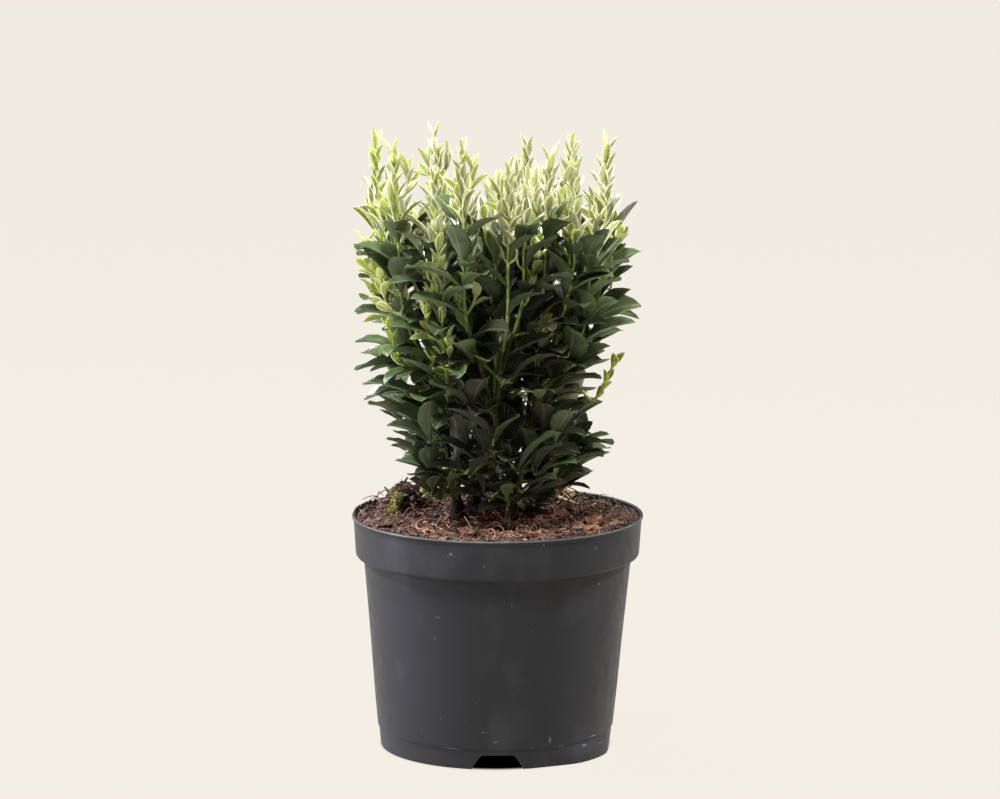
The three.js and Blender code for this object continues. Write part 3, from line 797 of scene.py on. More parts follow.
SHAPES = {
    LeafKind.TIP: LeafShape(
        outline=((0, 0.06), (0.15, 0.11), (0.4, 0.17), (0.62, 0.17), (0.8, 0.12), (0.93, 0.05), (1, 0)),
        rows=SHORT_ROWS, edge_from=0.76, cup=0.75, root_rise=(-8, 2), tip_fall=(-14, 6), thickness=0.02,
    ),
    LeafKind.CREAM: LeafShape(
        outline=((0, 0.03), (0.08, 0.035), (0.2, 0.08), (0.4, 0.14), (0.58, 0.17), (0.72, 0.165),
                 (0.85, 0.12), (0.94, 0.06), (1, 0)),
        rows=LONG_ROWS, edge_from=0.54, cup=0.5, root_rise=(2, 12), tip_fall=(0, 26), wave=0.1,
        thickness=0.015, variants=5,
    ),
    LeafKind.TURNING: LeafShape(
        outline=((0, 0.024), (0.1, 0.03), (0.2, 0.085), (0.34, 0.15), (0.5, 0.2), (0.66, 0.21), (0.8, 0.165),
                 (0.92, 0.085), (1, 0)),
        rows=LONG_ROWS, edge_from=0.74, cup=0.4, root_rise=(8, 24), tip_fall=(0, 44), tooth=0.03, wave=0.12,
        variants=5,
    ),
    LeafKind.GROWN: LeafShape(
        outline=((0, 0.02), (0.1, 0.04), (0.2, 0.1), (0.33, 0.17), (0.47, 0.218), (0.6, 0.236), (0.73, 0.222),
                 (0.84, 0.178), (0.93, 0.112), (1, 0)),
        rows=LONG_ROWS, edge_from=0.9, cup=0.38, root_rise=(6, 30), tip_fall=(-4, 46), tooth=0.025, wave=0.06,
        variants=6,
    ),
    LeafKind.FRESH: LeafShape(
        outline=((0, 0.04), (0.1, 0.05), (0.25, 0.12), (0.45, 0.195), (0.62, 0.205), (0.78, 0.16),
                 (0.92, 0.07), (1, 0)),
        rows=SHORT_ROWS, edge_from=0.78, cup=0.5, root_rise=(0, 12), tip_fall=(-2, 30), wave=0.08,
        thickness=0.018, variants=5,
    ),
}


@dataclass
class Place:
    """Where one copy of a shape stands: its root, its turn, its size, which shape it is and its tone."""

    root: Vector
    turn: Matrix
    size: Vector
    shape: int
    tone: int


@dataclass
class Spray:
    """Copies of a few shapes at given places, made by Geometry Nodes and made real as one piece."""

    name: str
    shapes: Sequence[Mesh]
    finishes: Sequence[Sequence[Material]]

    def tree(self) -> NodeTree:
        """Builds the node tree.

        Returns:
            A tree that puts a shape on each point, makes it real and gives each zone and tone its material.
        """
        tree = bpy.data.node_groups.new(self.name, "GeometryNodeTree")
        face = tree.interface
        face.new_socket("Places", in_out="INPUT", socket_type="NodeSocketGeometry")
        face.new_socket("Shapes", in_out="INPUT", socket_type="NodeSocketCollection")
        face.new_socket("Evenly larger", in_out="INPUT", socket_type="NodeSocketFloat")
        face.new_socket("Spray", in_out="OUTPUT", socket_type="NodeSocketGeometry")
        given = add(tree, "NodeGroupInput")
        shapes = add(
            tree, "GeometryNodeCollectionInfo",
            {"Collection": given.outputs["Shapes"], "Separate Children": True, "Reset Children": True},
        )
        kinds = {"turn": "FLOAT_VECTOR", "size": "FLOAT_VECTOR", "shape": "INT", "tone": "INT", "zone": "INT"}
        turn, size, shape, tone, zone = (
            add(tree, "GeometryNodeInputNamedAttribute", {"Name": name}, data_type=kind).outputs[0]
            for name, kind in kinds.items()
        )
        scaling = {0: size, "Scale": given.outputs["Evenly larger"]}
        larger = add(tree, "ShaderNodeVectorMath", scaling, operation="SCALE")
        turned = add(tree, "FunctionNodeEulerToRotation", {0: turn})
        copies = add(
            tree, "GeometryNodeInstanceOnPoints",
            {
                "Points": given.outputs["Places"],
                "Instance": shapes.outputs[0],
                "Pick Instance": True,
                "Instance Index": shape,
                "Rotation": turned.outputs[0],
                "Scale": larger.outputs[0],
            },
        )
        result = add(tree, "GeometryNodeRealizeInstances", {0: copies.outputs[0]}).outputs[0]
        tones = len(self.finishes[0])
        number = add(tree, "ShaderNodeMath", {0: zone, 1: float(tones), 2: tone}, operation="MULTIPLY_ADD")
        for zone_number, row in enumerate(self.finishes):
            for tone_number, material in enumerate(row):
                wanted = float(zone_number * tones + tone_number)
                same = add(
                    tree, "FunctionNodeCompare", {0: number.outputs[0], 1: wanted},
                    data_type="FLOAT", operation="EQUAL",
                )
                same.inputs["Epsilon"].default_value = 0.1
                result = add(
                    tree, "GeometryNodeSetMaterial",
                    {"Geometry": result, "Selection": same.outputs[0], "Material": material},
                ).outputs[0]
        add(tree, "NodeGroupOutput", {0: result})
        return tree

    def build(self, places: Sequence[Place], sharp: float = 50.0) -> Object:
        """Makes the piece.

        Args:
            places: where each copy stands, in millimetres.
            sharp: the angle in degrees past which an edge is sharp.

        Returns:
            The finished piece, a plain mesh with its place in its vertices.
        """
        kit = bpy.data.collections.new(f"{self.name}_shapes")
        for number, mesh in enumerate(self.shapes):
            kit.objects.link(bpy.data.objects.new(f"{self.name}_shape_{number:02d}", mesh))
        points = bpy.data.meshes.new(f"{self.name}_places")
        points.from_pydata([p.root * MM for p in places], [], [])
        rows = {
            "turn": ("FLOAT_VECTOR", "vector", [x for p in places for x in p.turn.to_euler("XYZ")]),
            "size": ("FLOAT_VECTOR", "vector", [x * MM for p in places for x in p.size]),
            "shape": ("INT", "value", [p.shape for p in places]),
            "tone": ("INT", "value", [p.tone for p in places]),
        }
        for name, (kind, value, numbers) in rows.items():
            points.attributes.new(name, kind, "POINT").data.foreach_set(value, numbers)
        carrier = bpy.data.objects.new(self.name, points)
        bpy.context.scene.collection.objects.link(carrier)
        modifier = carrier.modifiers.new("spray", "NODES")
        modifier.node_group = self.tree()
        sockets = modifier.node_group.interface.items_tree
        inputs = {socket.name: socket.identifier for socket in sockets if socket.in_out == "INPUT"}
        modifier[inputs["Shapes"]] = kit
        modifier[inputs["Evenly larger"]] = 1.0
        graph = bpy.context.evaluated_depsgraph_get()
        mesh = bpy.data.meshes.new_from_object(carrier.evaluated_get(graph), depsgraph=graph)
        carrier.modifiers.clear()
        carrier.data = mesh
        mesh.name = self.name
        for name in (*rows, "zone"):
            if name in mesh.attributes:
                mesh.attributes.remove(mesh.attributes[name])
        mesh.set_sharp_from_angle(angle=math.radians(sharp))
        for thing in list(kit.objects):
            bpy.data.objects.remove(thing)
        bpy.data.collections.remove(kit)
        bpy.data.meshes.remove(points)
        return carrier


def shape_mesh(
    name: str, verts: Sequence[Vector], faces: Faces, zones: Sequence[int] = (), places: Sequence[Point2] = ()
) -> Mesh:
    """Makes one small shape for a spray.

    Args:
        name: its name.
        verts: its vertices, a unit long.
        faces: its faces.
        zones: the zone of each face, or nothing where all are in the first.
        places: each vertex's place on its map, or nothing where it needs none.

    Returns:
        The mesh, with its zones and its map.
    """
    mesh = bpy.data.meshes.new(name)
    mesh.from_pydata(verts, [], faces)
    mesh.shade_smooth()
    mesh.attributes.new("zone", "INT", "FACE").data.foreach_set("value", zones or [0] * len(faces))
    if places:
        chart = mesh.uv_layers.new(name="leaf")
        for loop in mesh.loops:
            chart.data[loop.index].uv = places[loop.vertex_index]
    return mesh


def fillet(points: Sequence[Point3], steps: int = 4) -> list[Point2]:
    """Rounds the corners of a section.

    Args:
        points: each corner as radius, height and rounding, all in millimetres.
        steps: how many short runs make a rounding.

    Returns:
        The rounded section as pairs of radius and height.
    """
    result: list[Point2] = []
    for i, (r, z, rounding) in enumerate(points):
        here = Vector((r, z))
        if rounding <= 0 or i in (0, len(points) - 1):
            result.append((r, z))
            continue
        before = Vector(points[i - 1][:2]) - here
        after = Vector(points[i + 1][:2]) - here
        cut = min(rounding, before.length * 0.45, after.length * 0.45)
        a, b = here + before.normalized() * cut, here + after.normalized() * cut
        for step in range(steps + 1):
            t = step / steps
            point = a * (1 - t) ** 2 + here * 2 * t * (1 - t) + b * t**2
            result.append((point.x, point.y))
    return result


@dataclass
class Pot:
    """The round black nursery pot: one turned shell with a band, a lip, a ledge and drain notches."""

    height: float = 153.0
    band_foot: float = 126.0
    band_radius: float = 92.4
    wall_top: float = 128.5
    wall_top_radius: float = 87.4
    foot_radius: float = 75.0
    wall: float = 1.5
    lip: float = 2.4
    ledge_height: float = 13.0
    ledge_step: float = 0.7
    floor_height: float = 10.0
    notch_wide: float = 34.0
    notch_narrow: float = 21.0
    notch_height: float = 9.6
    notch_count: int = 3
    lean: float = 1.5
    foot_spread: float = 0.9
    flare: float = 4.4
    knock_angle: float = -36.0
    knock_spread: float = 24.0
    knock_height: float = 14.0
    dent_depth: float = 3.6
    dent_slope: float = 24.0
    dent_right_of: float = 60.0
    dent_y: Point2 = (-26.0, 18.0)
    dent_fade: float = 9.0
    dent_top: float = 15.0
    # How far down from the top and in from the outer edge the lip's painted highlight reaches.
    highlight_depth: float = 0.75
    highlight_inset: float = 0.85
    sides: int = 240
    longest_run: float = 4.0

    def wall_at(self, height: float) -> float:
        """The outside radius of the tapering wall at a height."""
        return mix(self.foot_radius, self.wall_top_radius, height / self.wall_top)

    def section(self) -> list[Point2]:
        """Draws the rounded section.

        Returns:
            Pairs of radius and height, from the axis under the floor, out, up, over the lip and down inside.
        """
        foot = self.wall + self.ledge_step
        corners = [
            (0.0, self.floor_height, 0.0),
            (self.wall_at(self.floor_height) - foot, self.floor_height, 0.8),
            (self.foot_radius - foot, 0.0, 0.4),
            (self.foot_radius - self.ledge_step, 0.0, 0.5),
            (self.wall_at(self.ledge_height) - self.ledge_step, self.ledge_height, 0.35),
            (self.wall_at(self.ledge_height + self.ledge_step), self.ledge_height + self.ledge_step, 0.45),
            (self.wall_top_radius, self.wall_top, 0.7),
            (self.band_radius - 0.9, self.band_foot + 0.4, 0.7),
            (self.band_radius, self.band_foot + 1.8, 0.8),
            (RIM_RADIUS - 1, self.height - self.lip, 0.6),
            (RIM_RADIUS, self.height - self.lip + 0.8, 0.5),
            (RIM_RADIUS, self.height, 0.8),
            (RIM_RADIUS - self.lip, self.height, 0.9),
            (self.band_radius - self.wall + 0.6, self.wall_top + self.wall + 0.5, 1.0),
            (self.wall_top_radius - self.wall, self.wall_top + self.wall, 1.0),
            (self.wall_at(self.floor_height + self.wall) - self.wall, self.floor_height + self.wall, 1.5),
            (0.0, self.floor_height + self.wall, 0.0),
        ]
        rounded = fillet(corners)
        section = [rounded[0]]
        for (r0, z0), (r1, z1) in zip(rounded, rounded[1:]):
            runs = max(1, math.ceil(math.hypot(r1 - r0, z1 - z0) / self.longest_run))
            section += [(mix(r0, r1, k / runs), mix(z0, z1, k / runs)) for k in range(1, runs + 1)]
        return section

    def settle(self, point: Vector) -> Vector:
        """Gives a point of the turned form the small faults of the thin moulded wall.

        Args:
            point: a point of the true turned form.

        Returns:
            The point, a little out of round, and pushed in at the knocked corner of the foot.
        """
        angle = math.atan2(point.y, point.x)
        radius = math.hypot(point.x, point.y)
        if radius < 1:
            return point
        out = 0.12 * math.sin(2 * angle + 0.8) + 0.1 * math.sin(3 * angle + 2.0)
        out += 0.25 * noise.noise(Vector((math.cos(angle) * 1.9, math.sin(angle) * 1.9, point.z * 0.02)))
        share = ease(point.z / 40) * (1 - 0.6 * ease((point.z - 118) / 20))
        low = 1 - ease(point.z / self.height)
        out = out * share + self.foot_spread * low
        corner = ease(1.25 - abs(math.degrees(angle) - self.knock_angle) / self.knock_spread)
        corner *= 1 - ease((point.z - 2) / self.knock_height)
        out += self.flare * corner * (1 + 0.12 * noise.noise(point * 0.3))
        moved = point + Vector((math.cos(angle) * out - self.lean * low, math.sin(angle) * out, 0.0))
        front, back = self.dent_y
        if moved.x > self.dent_right_of and front < moved.y < back and moved.z < self.dent_top:
            inner = radius < self.wall_at(point.z) - self.ledge_step - 0.5
            slope = math.tan(math.radians(self.dent_slope))
            fade = ease((moved.y - front) / self.dent_fade) * ease((back - moved.y) / self.dent_fade)
            crumple = 1.3 * noise.noise(point * 0.35) + 0.7 * noise.noise(point * 0.9)
            limit = self.foot_radius - self.dent_depth + point.z * slope + crumple
            limit += self.flare * corner - (self.wall if inner else 0.0)
            if moved.x > limit:
                moved.x = mix(moved.x, limit, fade)
        return moved

    def body(self) -> Object:
        """Turns the section into a closed shell.

        Returns:
            The pot, without its notches.
        """
        (_, low), *section, (_, high) = self.section()
        rings = [[self.settle(point) for point in circle(r, z, self.sides)] for r, z in section]
        shell = Shell()
        shell.turn(rings, Vector((0.0, 0.0, low)), Vector((0.0, 0.0, high)), True)
        return shell.piece("pot_shell", [], 35.0)

    def notch(self, turn: float) -> Object:
        """Makes the wedge that cuts one drain notch, its upper corners taken off.

        Args:
            turn: the angle round the pot, from the front.

        Returns:
            The wedge.
        """
        wide, narrow, high = self.notch_wide / 2, self.notch_narrow / 2, self.notch_height
        outline = [(-wide - 0.6, -3.0), (wide + 0.6, -3.0), (wide - 0.6, 0.8)]
        outline += [(narrow + 1.0, high - 1.3), (narrow - 0.8, high)]
        outline += [(0.8 - narrow, high), (-narrow - 1.0, high - 1.3), (0.6 - wide, 0.8)]
        through_wall = (-self.foot_radius - 6, -self.foot_radius + 12)
        verts = [Vector((x, y, z)) for y in through_wall for x, z in outline]
        count = len(outline)
        faces = [list(range(count)), list(range(2 * count - 1, count - 1, -1))]
        faces += [[i, count + i, count + (i + 1) % count, (i + 1) % count] for i in range(count)]
        spun = Matrix.Rotation(turn, 4, "Z")
        shell = Shell()
        shell.add([spun @ v for v in verts], faces)
        cutter = shell.piece("notch", [])
        work = bmesh.new()
        work.from_mesh(cutter.data)
        bmesh.ops.recalc_face_normals(work, faces=work.faces)
        work.to_mesh(cutter.data)
        work.free()
        return cutter

    def build(self) -> Object:
        """Makes the pot.

        Returns:
            The finished pot, in place of the CAD node.
        """
        pot = self.body()
        cutters = [self.notch(i * FULL_TURN / self.notch_count) for i in range(self.notch_count)]
        for cutter in cutters:
            cut = pot.modifiers.new("notch", "BOOLEAN")
            cut.operation = "DIFFERENCE"
            cut.solver = "EXACT"
            cut.object = cutter
        graph = bpy.context.evaluated_depsgraph_get()
        mesh = bpy.data.meshes.new_from_object(pot.evaluated_get(graph), depsgraph=graph)
        pot.modifiers.clear()
        pot.data = mesh
        for cutter in cutters:
            bpy.data.objects.remove(cutter)
        mesh.materials.clear()
        mesh.materials.append(MouldedPolypropylene("black_moulded_polypropylene").build())
        # The outer top edge of the lip takes a lighter grey material: a painted highlight where the lip
        # catches the light.
        mesh.materials.append(MouldedPolypropylene("lip_painted_highlight_polypropylene", "454547", "777776").build())
        for face in mesh.polygons:
            x, y, z = face.center / MM
            at_edge = math.hypot(x, y) > RIM_RADIUS - self.highlight_inset
            face.material_index = int(z > self.height - self.highlight_depth and at_edge)
        mesh.shade_smooth()
        mesh.set_sharp_from_angle(angle=math.radians(32))
        dress(pot, ["pot"])
        return pot


def dress(piece: Object, nodes: Sequence[str]) -> None:
    """Tells the frame what a piece is.

    Args:
        piece: the finished piece.
        nodes: the CAD nodes that it stands for.
    """
    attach(piece, "root")
    if nodes:
        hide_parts(*nodes)
    triangles = sum(len(p.vertices) - 2 for p in piece.data.polygons)
    log.info("%s: %d triangles", piece.name, triangles)


def soil_top(x: float, y: float) -> float:
    """Gives the top of the mix as the source has it: a coarse heap with a clod near the left edge.

    Args:
        x: the place to the right of the pot's axis.
        y: the place behind it.

    Returns:
        The height there.
    """
    radius = math.hypot(x, y)
    ripple = 0.9 * math.sin(x * 0.13 + 1.3) * math.cos(y * 0.16 - 0.4)
    ripple += 0.6 * math.sin(x * 0.31 - y * 0.27 + 2.1)
    heap = 2.6 * ease(1 - radius / 62)
    clod = 6.5 * ease(1 - math.hypot(x + 65, y - 27) / 19)
    at_wall = ease((RIM_RADIUS - 4 - radius) / 14)
    return SOIL_LEVEL - 0.6 + at_wall * (ripple + heap) + clod * ease((88 - radius) / 6)


# The threads that stand out on the mix: radius, tone (brown, red or pale) and the points on the way.
ROOTS = (
    (0.8, 1, ((-13, -11, 151), (-6, -2, 155), (1, 14, 157.5), (6, 8, 157), (7, -8, 154), (7, -22, 150.5))),
    (0.55, 2, ((-24, -6, 154), (-20.5, -22, 154), (-16, -48, 151))),
    (0.6, 1, ((12, -58, 150), (13, -42, 155), (15.5, -24, 157), (19, -30, 156), (21, -58, 150))),
    (0.5, 0, ((20, -60, 150), (23, -40, 154), (27, -28, 154.5), (31, -44, 153), (33, -58, 150))),
    (0.8, 1, ((-42, -66, 150.5), (-52, -50, 154), (-48, -36, 156), (-36, -33, 154), (-30, -42, 151))),
    (0.7, 1, ((-24, -4, 150.5), (-24, 14, 155), (-20, 24, 157), (-10, 20, 154), (-4, 12, 151))),
    (1.3, 2, ((36, 60, 153.5), (44, 47, 153.5), (53, 34, 152.5))),
    (0.9, 0, ((46, 66, 152), (58, 52, 153), (70, 40, 152.5))),
    (0.45, 2, ((-14, 22, 151), (-9, 27, 155), (-5, 36, 158))),
    (0.5, 2, ((-36, -18, 151), (-30, -12, 154), (-26, -16, 152))),
    (1.2, 0, ((-64, 56, 156), (-63, 58, 161), (-60, 58, 166))),
    (0.9, 0, ((-60, 52, 156), (-57, 54, 160), (-53, 53, 163))),
    (0.9, 0, ((-70, 50, 154), (-73, 52, 158), (-75, 51, 161))),
    (0.7, 0, ((56, 20, 151), (66, 16, 154), (76, 20, 152))),
    (0.6, 2, ((60, 30, 151), (68, 36, 153.5), (76, 34, 151.5))),
)


# Where chips and fibres lie thicker: the middle of the place, its half width, how many, tone and length.
CHIP_HEAPS = (
    (-45.0, 62.0, 12.0, 26, 1, 8.5), (-34.0, 50.0, 9.0, 14, 2, 7.0), (47.0, -4.0, 4.0, 4, 1, 13.0),
    (64.0, -6.0, 4.0, 4, 2, 14.0), (62.0, -38.0, 5.0, 4, 2, 10.0), (38.0, -46.0, 14.0, 22, 3, 8.0),
    (20.0, -52.0, 12.0, 14, 1, 6.0), (-30.0, -4.0, 10.0, 10, 3, 8.0), (-20.0, 30.0, 12.0, 14, 1, 8.0),
)
FIBRE_TUFTS = (
    (34.0, 64.0, 9.0, 44, 1, 17.0), (0.0, -20.0, 14.0, 26, 1, 18.0), (18.0, -36.0, 8.0, 16, 0, 18.0),
    (-17.5, -32.0, 3.0, 3, 2, 12.0), (-29.0, -10.0, 3.0, 2, 2, 10.0), (42.0, 60.0, 3.0, 4, 2, 16.0),
    (-44.0, -40.0, 8.0, 5, 2, 12.0),
)

# The finishes of the mix: main tone, light grains, painted shade in the pores, size of the patches and
# roughness.
PEAT = Crumbly("damp_peat", "402d23", "5c4335", "2a1b13", 2.4)
CRUMBS = (
    Crumbly("peat_crumb_dark", "37281f", "4c382d", "251810", 1.2),
    Crumbly("peat_crumb_brown", "4a362b", "624b3e", "2f1f17", 1.2),
    Crumbly("peat_crumb_red", "5c3b2d", "775343", "3a2318", 1.2),
)
CHIPS = (
    Crumbly("bark_chip_brown", "483327", "604537", "2f1f17", 1.6, 0.75),
    Crumbly("bark_chip_red", "683f2f", "825641", "43291d", 1.6, 0.7),
    Crumbly("bark_chip_orange", "92603d", "aa7a55", "5c3a25", 1.6, 0.7),
    Crumbly("bark_chip_pink", "7f6051", "987c6c", "564036", 1.6, 0.75),
)
FIBRES = (
    Crumbly("coir_fibre_brown", "5a4233", "785c49", "37271e", 1.0, 0.7),
    Crumbly("coir_fibre_red", "7f523f", "9b6f57", "533426", 1.0, 0.7),
    Crumbly("straw_fibre_pale", "d0bd93", "e4d5b0", "9d8559", 1.0, 0.6),
)
MOSSES = (
    Crumbly("moss_lime", "a8ab50", "c9cb84", "6f7430", 0.8, 0.7),
    Crumbly("moss_olive", "7f8442", "a3a768", "4c5226", 0.8, 0.7),
)


@dataclass
class PottingMix:
    """Coarse peat with bark chips and fibre, nearly level with the rim."""

    edge_radius: float = 92.2
    rings: int = 104
    sides: int = 220
    crumbs: int = 1700
    wall_crumbs: int = 420
    clod_crumbs: int = 190
    rim_crumbs: int = 26
    rim_middle: float = 93.6
    rim_height: float = 153.0
    clod_at: Point2 = (-61.0, 46.0)
    clod_half: Point2 = (13.0, 21.0)
    clod_height: float = 9.5
    clod_lumps: float = 5.0
    moss_at: Point2 = (-67.0, 18.0)
    chips: int = 900
    fibres: int = 420
    rootlets: int = 46
    moss_leaves: int = 360
    crumb_kinds: int = 5
    chip_kinds: int = 6
    fibre_kinds: int = 6
    moss_kinds: int = 3
    seed: int = SEED + 4001

    def __post_init__(self) -> None:
        """Starts the row of numbers that lays the bits."""
        self.next_ = Draws(self.seed)

    def relief(self, x: float, y: float) -> float:
        """Gives the top of the mix with its lumps and pores, its lumpy clod and its raked-up rim.

        Args:
            x: the place to the right of the pot's axis.
            y: the place behind it.

        Returns:
            The height there.
        """
        place = Vector((x, y, 0.0))
        rough = 1.1 * noise.noise(place * 0.13) + 0.9 * noise.noise(place * 0.31)
        rough += 0.55 * noise.noise(place * 0.8)
        (clod_x, clod_y), (wide, deep) = self.clod_at, self.clod_half
        clod = ease(1.25 - math.hypot((x - clod_x) / wide, (y - clod_y) / deep))
        lumps = noise.noise(place * 0.24 + Vector((9.0, 4.0, 0.0)))
        rough += clod * (self.clod_height + self.clod_lumps * lumps)
        at_wall = ease((self.edge_radius + 1.5 - math.hypot(x, y)) / 5)
        raked_up = 1.7 * ease((math.hypot(x, y) - 70) / 15)
        return soil_top(x, y) + rough * mix(0.45, 1.0, at_wall) + raked_up

    def bed(self, materials: Sequence[Material]) -> Object:
        """Makes the mix itself, a closed plug whose top has the relief.

        Args:
            materials: its material.

        Returns:
            The piece.
        """
        radii = [self.edge_radius * ring / self.rings for ring in range(1, self.rings + 1)]
        rings = [circle(radius, 0.0, self.sides) for radius in radii]
        for ring in rings:
            for point in ring:
                point.z = self.relief(point.x, point.y)
        rings += [circle(*at, self.sides) for at in ((91.0, 131.5), (85.4, 129.6), (74.2, 12.1))]
        shell = Shell()
        shell.turn(rings, Vector((0.0, 0.0, self.relief(0.0, 0.0))), Vector((0.0, 0.0, 12.1)), False)
        return shell.piece("potting_mix_bed", materials, 70.0)

    def crumb_shapes(self) -> list[Mesh]:
        """Makes lumps of peat.

        Returns:
            The lumps, a unit wide, each a knocked-about twenty-sided form.
        """
        meshes = []
        for number in range(self.crumb_kinds):
            work = bmesh.new()
            bmesh.ops.create_icosphere(work, subdivisions=1, radius=0.5)
            for vert in work.verts:
                push = 1 + 0.55 * noise.noise(vert.co * 2.1 + Vector((number * 7.3, 1.0, 2.0)))
                vert.co = Vector((vert.co.x * push, vert.co.y * push * 0.85, vert.co.z * push * 0.7))
            verts = [v.co.copy() for v in work.verts]
            faces = [[v.index for v in f.verts] for f in work.faces]
            work.free()
            meshes.append(shape_mesh(f"crumb_{number}", verts, faces))
        return meshes

    def chip_shapes(self, corners: int = 7) -> list[Mesh]:
        """Makes flat splinters of bark.

        Args:
            corners: how many corners each has.

        Returns:
            The splinters, a unit long, from narrow to wide, a little bent, with broken ends.
        """
        meshes = []
        for number in range(self.chip_kinds):
            next_ = Draws(self.seed + 50 + number)
            wide = (0.1, 0.14, 0.18, 0.26, 0.45, 0.7)[number]
            thick = next_.between(0.06, 0.13)
            bend = next_.between(-0.25, 0.3)
            verts = []
            for level in (-1, 1):
                for k in range(corners):
                    angle = (k + 0.3 * next_()) * FULL_TURN / corners
                    out = 0.5 * next_.between(0.72, 1.08)
                    x, y = out * math.cos(angle), out * math.sin(angle) * wide
                    verts.append(Vector((x, y, level * thick / 2 + bend * x * x)))
            verts += [Vector((0, 0, -thick * 0.4)), Vector((0.04, 0, thick * 0.75))]
            faces = []
            for k in range(corners):
                after = (k + 1) % corners
                faces.append([k, after, corners + after, corners + k])
                faces.append([after, k, 2 * corners])
                faces.append([corners + k, corners + after, 2 * corners + 1])
            meshes.append(shape_mesh(f"chip_{number}", verts, faces))
        return meshes

    def fibre_shapes(self, runs: int = 8) -> list[Mesh]:
        """Makes threads of coir.

        Args:
            runs: how many short runs make a thread.

        Returns:
            The threads, a unit long and three-sided, that arch and curl.
        """
        meshes = []
        for number in range(self.fibre_kinds):
            next_ = Draws(self.seed + 90 + number)
            heading = 0.0
            place = Vector((-0.4, 0.0, 0.0))
            curl = next_.between(-3.4, 3.4)
            points = []
            for k in range(runs + 1):
                arch = 0.16 * math.sin(math.pi * (k / runs)) * (0.4 + number % 3)
                points.append(Vector((place.x, place.y, arch)))
                heading += curl * 0.12 + 0.5 * (next_() - 0.5)
                place = place + Vector((math.cos(heading), math.sin(heading), 0.0)) / runs
            path = Path(points, 1.0)
            verts, faces = path.tube(lambda distance, angle: 0.027 * (1.15 - distance * 0.5), 3)
            meshes.append(shape_mesh(f"fibre_{number}", verts, faces))
        return meshes

    def moss_shapes(self) -> list[Mesh]:
        """Makes small pointed leaves of moss.

        Returns:
            The leaves, a unit long, from a little to well bent.
        """
        meshes = []
        for number in range(self.moss_kinds):
            bend = 0.12 + 0.14 * number
            side = 0.06 + bend * 0.3
            verts = [
                Vector((0.0, 0.0, 0.0)), Vector((0.17, 0.42, side)), Vector((0.0, 1.0, -bend)),
                Vector((-0.17, 0.42, side)), Vector((0.0, 0.45, bend * 0.3 - 0.06)),
            ]
            faces = [[0, 1, 2], [0, 2, 3], [1, 0, 4], [2, 1, 4], [3, 2, 4], [0, 3, 4]]
            meshes.append(shape_mesh(f"moss_{number}", verts, faces))
        return meshes

    def root_piece(self, materials: Sequence[Material]) -> Object:
        """Makes the loops of root, straws and twiglets that stand out, and a mop of roots at the back.

        Args:
            materials: the brown, the red and the pale fibre.

        Returns:
            The piece.
        """
        shell = Shell()
        for radius, tone, points in ROOTS:
            path = Path([Vector(p) for p in points], 1.2)
            length = path.length
            shell.add(*path.tube(lambda distance, angle: radius * (1.1 - 0.5 * distance / length), 6), tone)
        next_ = Draws(self.seed + 300)
        for _ in range(self.rootlets):
            angle = next_.between(-2.9, -0.2)
            reach = next_.between(9, 21)
            head = Vector((36 + 5 * next_(), 62 + 6 * next_(), 156 + 4 * next_()))
            x, y = head.x + reach * math.cos(angle), head.y + 0.8 * reach * math.sin(angle)
            foot = Vector((x, y, self.relief(x, y)))
            middle = head.lerp(foot, 0.5) + Vector((0, 0, next_.between(1, 4)))
            path = Path([head, middle, foot], 1.5)
            thick = next_.between(0.3, 0.6)
            shell.add(*path.tube(lambda distance, angle: thick, 5), (1, 1, 0, 2)[next_.pick(4)])
        return shell.piece("mix_roots", materials, 60.0)

    def lying(self, at: Point2, size: float, tilt: float, lift: float, shapes: int, tone: int) -> Place:
        """Lays a bit on the mix.

        Args:
            at: its place on the mix.
            size: its length.
            tilt: the most that it may lean, in radians.
            lift: how high its middle is above the mix.
            shapes: how many shapes there are to pick from.
            tone: its tone.

        Returns:
            Its place.
        """
        roll = Matrix.Rotation(self.next_.between(-tilt, tilt), 3, "X")
        pitch = Matrix.Rotation(self.next_.between(-tilt, tilt), 3, "Y")
        turn = Matrix.Rotation(self.next_() * FULL_TURN, 3, "Z") @ (roll @ pitch)
        root = Vector((*at, self.relief(*at) + lift))
        return Place(root, turn, Vector((size, size, size)), self.next_.pick(shapes), tone)

    def spread(self, radius: float) -> Point2:
        """Picks a place on the mix, evenly spread.

        Args:
            radius: how far out it may be.

        Returns:
            The place.
        """
        out = radius * math.sqrt(self.next_())
        angle = self.next_() * FULL_TURN
        return out * math.cos(angle), out * math.sin(angle)

    def near(self, x: float, y: float, wide: float, deep: float) -> Point2:
        """A place near another one, at most so far to the side and to the back or front."""
        return x + self.next_.between(-wide, wide), y + self.next_.between(-deep, deep)

    def heaped(self, heaps: Sequence[tuple], longest: float, tilt: float, shapes: int) -> list[Place]:
        """Lays bits where they lie thicker.

        Args:
            heaps: the heaps, as in the two tables.
            longest: the length of the longest bit, as a share of the heap's own.
            tilt: the most that a bit may lean, in radians.
            shapes: how many shapes there are to pick from.

        Returns:
            Their places.
        """
        bits = []
        for x, y, reach, count, tone, size in heaps:
            for _ in range(count):
                at = self.near(x, y, reach, reach)
                length = size * self.next_.between(0.7, longest)
                bits.append(self.lying(at, length, tilt, 1.2, shapes, tone))
        return bits

    def lay(
        self, name: str, shapes: Sequence[Mesh], finishes: Sequence[Material],
        bits: Sequence[Place], sharp: float,
    ) -> None:
        """Makes one kind of bit a piece of the mix.

        Args:
            name: the piece's name.
            shapes: the shapes of its bits.
            finishes: the material of each tone.
            bits: where the bits lie.
            sharp: the angle in degrees past which an edge is sharp.
        """
        dress(Spray(name, shapes, [finishes]).build(bits, sharp), [])

